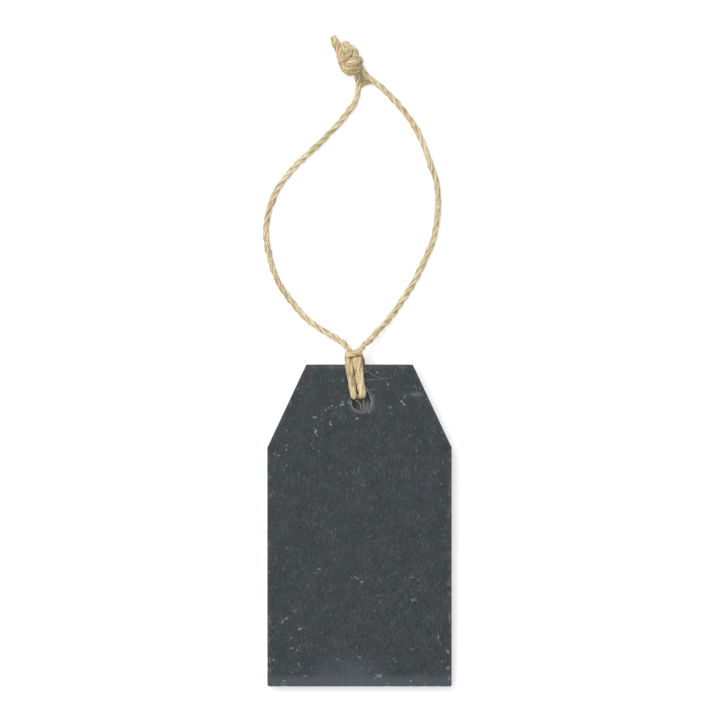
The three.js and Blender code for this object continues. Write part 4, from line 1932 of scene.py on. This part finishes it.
@dataclass
class TagAssembly:
    """Builds every piece of the tag, and puts each piece that rides on one body on it."""

    twine: Twine = field(default_factory=Twine)
    plate: SlatePlate = field(default_factory=SlatePlate)
    stray: StrayFibres = field(default_factory=StrayFibres)
    web: KnotWeb = field(default_factory=KnotWeb)
    loose: LooseFibres = field(default_factory=LooseFibres)
    drawn: DrawnFibres = field(default_factory=DrawnFibres)
    lying: LyingFibres = LyingFibres()
    seeds: tuple[int, int] = (11, 31)
    jute: JuteTwine = JuteTwine()
    # A darker copy of the jute, for the hitch and the knot.
    darker_jute: JuteTwine = JuteTwine(
        name="jute darker copy for hitch and knot", straw="#EAD8A8", khaki="#D8CA96",
        tan="#E8C298", light="#FFF2D0", brown="#A07640",
    )
    # This finish also colours the pale line of painted highlight on the hole's lower rim.
    dusty_jute: LooseJute = LooseJute(
        name="jute stray fibre on slate", light="#E0E2DE", middle="#A9ABA9",
        dark="#6F7477",
    )
    pressed_density: float = 0.35
    fold_start: Triple = (-1.4, 52.9, 5.0)
    fold_end: Triple = (-1.4, 55.6, 5.0)
    flop_start: Triple = (1.4, 132.5, 1.0)
    flop_end: Triple = (0.0, 135.3, 1.0)
    plan: tuple[Stretch, ...] = (
        Stretch("leg_left", ("leg_left",), "twine_leg_left", "jute_leg_left",
                Body.HITCH, Body.LOOP),
        Stretch("leg_right", ("leg_right",), "twine_leg_right", "jute_leg_right",
                Body.HITCH, Body.LOOP),
        Stretch("hitch", ("hitch",), "twine_hitch", "jute_hitch", Body.HITCH, None),
        Stretch("knot", ("knot_left", "knot_right"), "end_knot", "jute_knot",
                Body.LOOP, Body.KNOT),
    )

    @staticmethod
    def metres(point: Triple) -> tuple[float, ...]:
        """Turn a millimetre point into metres."""
        return tuple(x * MM for x in point)

    def carry(self, piece: Object, first: Body, second: Body | None) -> None:
        """Put a piece on one body, or, where it spans two, bake its place into its mesh.

        Args:
            piece: The piece.
            first: The body that it rides on or starts on.
            second: The body that it ends on, if it spans two.
        """
        if second is None:
            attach(piece, first.value)
        elif second is Body.LOOP:
            self.metres(self.fold_start)
            self.metres(self.fold_end)
            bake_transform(piece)
        else:
            self.metres(self.flop_start)
            self.metres(self.flop_end)
            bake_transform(piece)

    def build_stretch(
        self, number: int, stretch: Stretch, lines: list[TwineLine], finish: Material,
        loose: Material, trees: tuple[NodeTree, NodeTree],
    ) -> dict[str, Object]:
        """Make one piece of twine with its standing and lying fibres.

        Args:
            number: The piece's place in the plan, which sets its seeds.
            stretch: What the piece is.
            lines: The lines that it is swept along.
            finish: The twine's material.
            loose: The fibres' material.
            trees: The trees for loose and for drawn fibres.

        Returns:
            The piece and its fibres by name.
        """
        name = stretch.name
        mesh = self.twine.surface(f"jute_{name}", lines)
        mesh.materials.append(finish)
        piece = new_object(f"jute_{name}", mesh)
        # Pressed twine has lost most of its standing fibres.
        thinned = {"Density": self.pressed_density * 1e6} if name == "hitch" else None
        fibres = self.loose.grow(
            trees[0], piece, f"fibres_{name}", loose, self.seeds[0] + number, thinned
        )
        lying, tones = [], []
        for line in lines:
            more, toned = self.lying.draw(self.twine, line, self.seeds[1] + number)
            lying += more
            tones += toned
        strands = self.drawn.build(trees[1], f"strands_{name}", lying, tones, loose)
        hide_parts(stretch.node)
        for made in (piece, fibres, strands):
            self.carry(made, stretch.first, stretch.second)
        log.info(
            "%s: %d faces, %d fibre faces", piece.name, len(mesh.polygons),
            len(fibres.data.polygons) + len(strands.data.polygons),
        )
        return {name: piece, f"{name}_fibres": fibres, f"{name}_strands": strands}

    def build_twine(self) -> None:
        """Make the twine's pieces and their loose fibres, and log both legs' lengths."""
        lines = self.twine.lay_out()
        jute, loose, tight = self.jute.build(), LooseJute().build(), self.darker_jute.build()
        trees = (self.loose.tree(), self.drawn.tree())
        pieces = {}
        for number, stretch in enumerate(self.plan):
            # The hitch and the knot get the darker copy of the jute.
            finish = tight if stretch.name in ("hitch", "knot") else jute
            own = [lines[name] for name in stretch.lines]
            pieces |= self.build_stretch(number, stretch, own, finish, loose, trees)
        start = self.web.above
        left = np.vstack([lines["knot_left"].centre[-start:], lines["leg_left"].centre])
        right = np.vstack([
            lines["leg_right"].centre, lines["knot_right"].centre[:start],
        ])[::-1]
        web = self.web.build(trees[1], left, right, loose)
        self.carry(web, Body.LOOP, Body.KNOT)
        pieces["web"] = web
        stray = self.stray.build(trees[1], self.dusty_jute.build())
        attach(stray, Body.HITCH.value)
        log.info("stray_fibres_and_rim_highlight: %d faces", len(stray.data.polygons))
        company = {
            "leg_left": ("leg_left_fibres", "leg_left_strands", "knot", "knot_fibres",
                         "knot_strands"),
            "leg_right": ("leg_right_fibres", "leg_right_strands", "hitch",
                          "hitch_fibres", "hitch_strands", "web"),
        }
        for name, others in company.items():
            line = lines[name]
            line.length() * MM
            [pieces[o] for o in others]
            log.info("%s is %.1f mm long", name, line.length())

    def build_slate(self) -> None:
        """Make the slate."""
        plate = self.plate.build(RivenSlate().build())
        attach(plate, Body.TAG.value)
        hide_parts("slate_tag")
        log.info("slate_plate: %d faces", len(plate.data.polygons))


def main() -> None:
    """Build the whole scene in order."""
    logging.basicConfig(level=logging.INFO, format="%(message)s")
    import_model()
    cad_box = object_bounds()
    Studio().build()
    assembly = TagAssembly()
    assembly.build_twine()
    assembly.build_slate()
    boxes = {
        name: [list(corner) for corner in box]
        for name, box in (("cad", cad_box), ("visual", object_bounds()))
    }
    log.info("cad box %s, visual box %s", boxes["cad"], boxes["visual"])


if __name__ == "__main__":
    main()
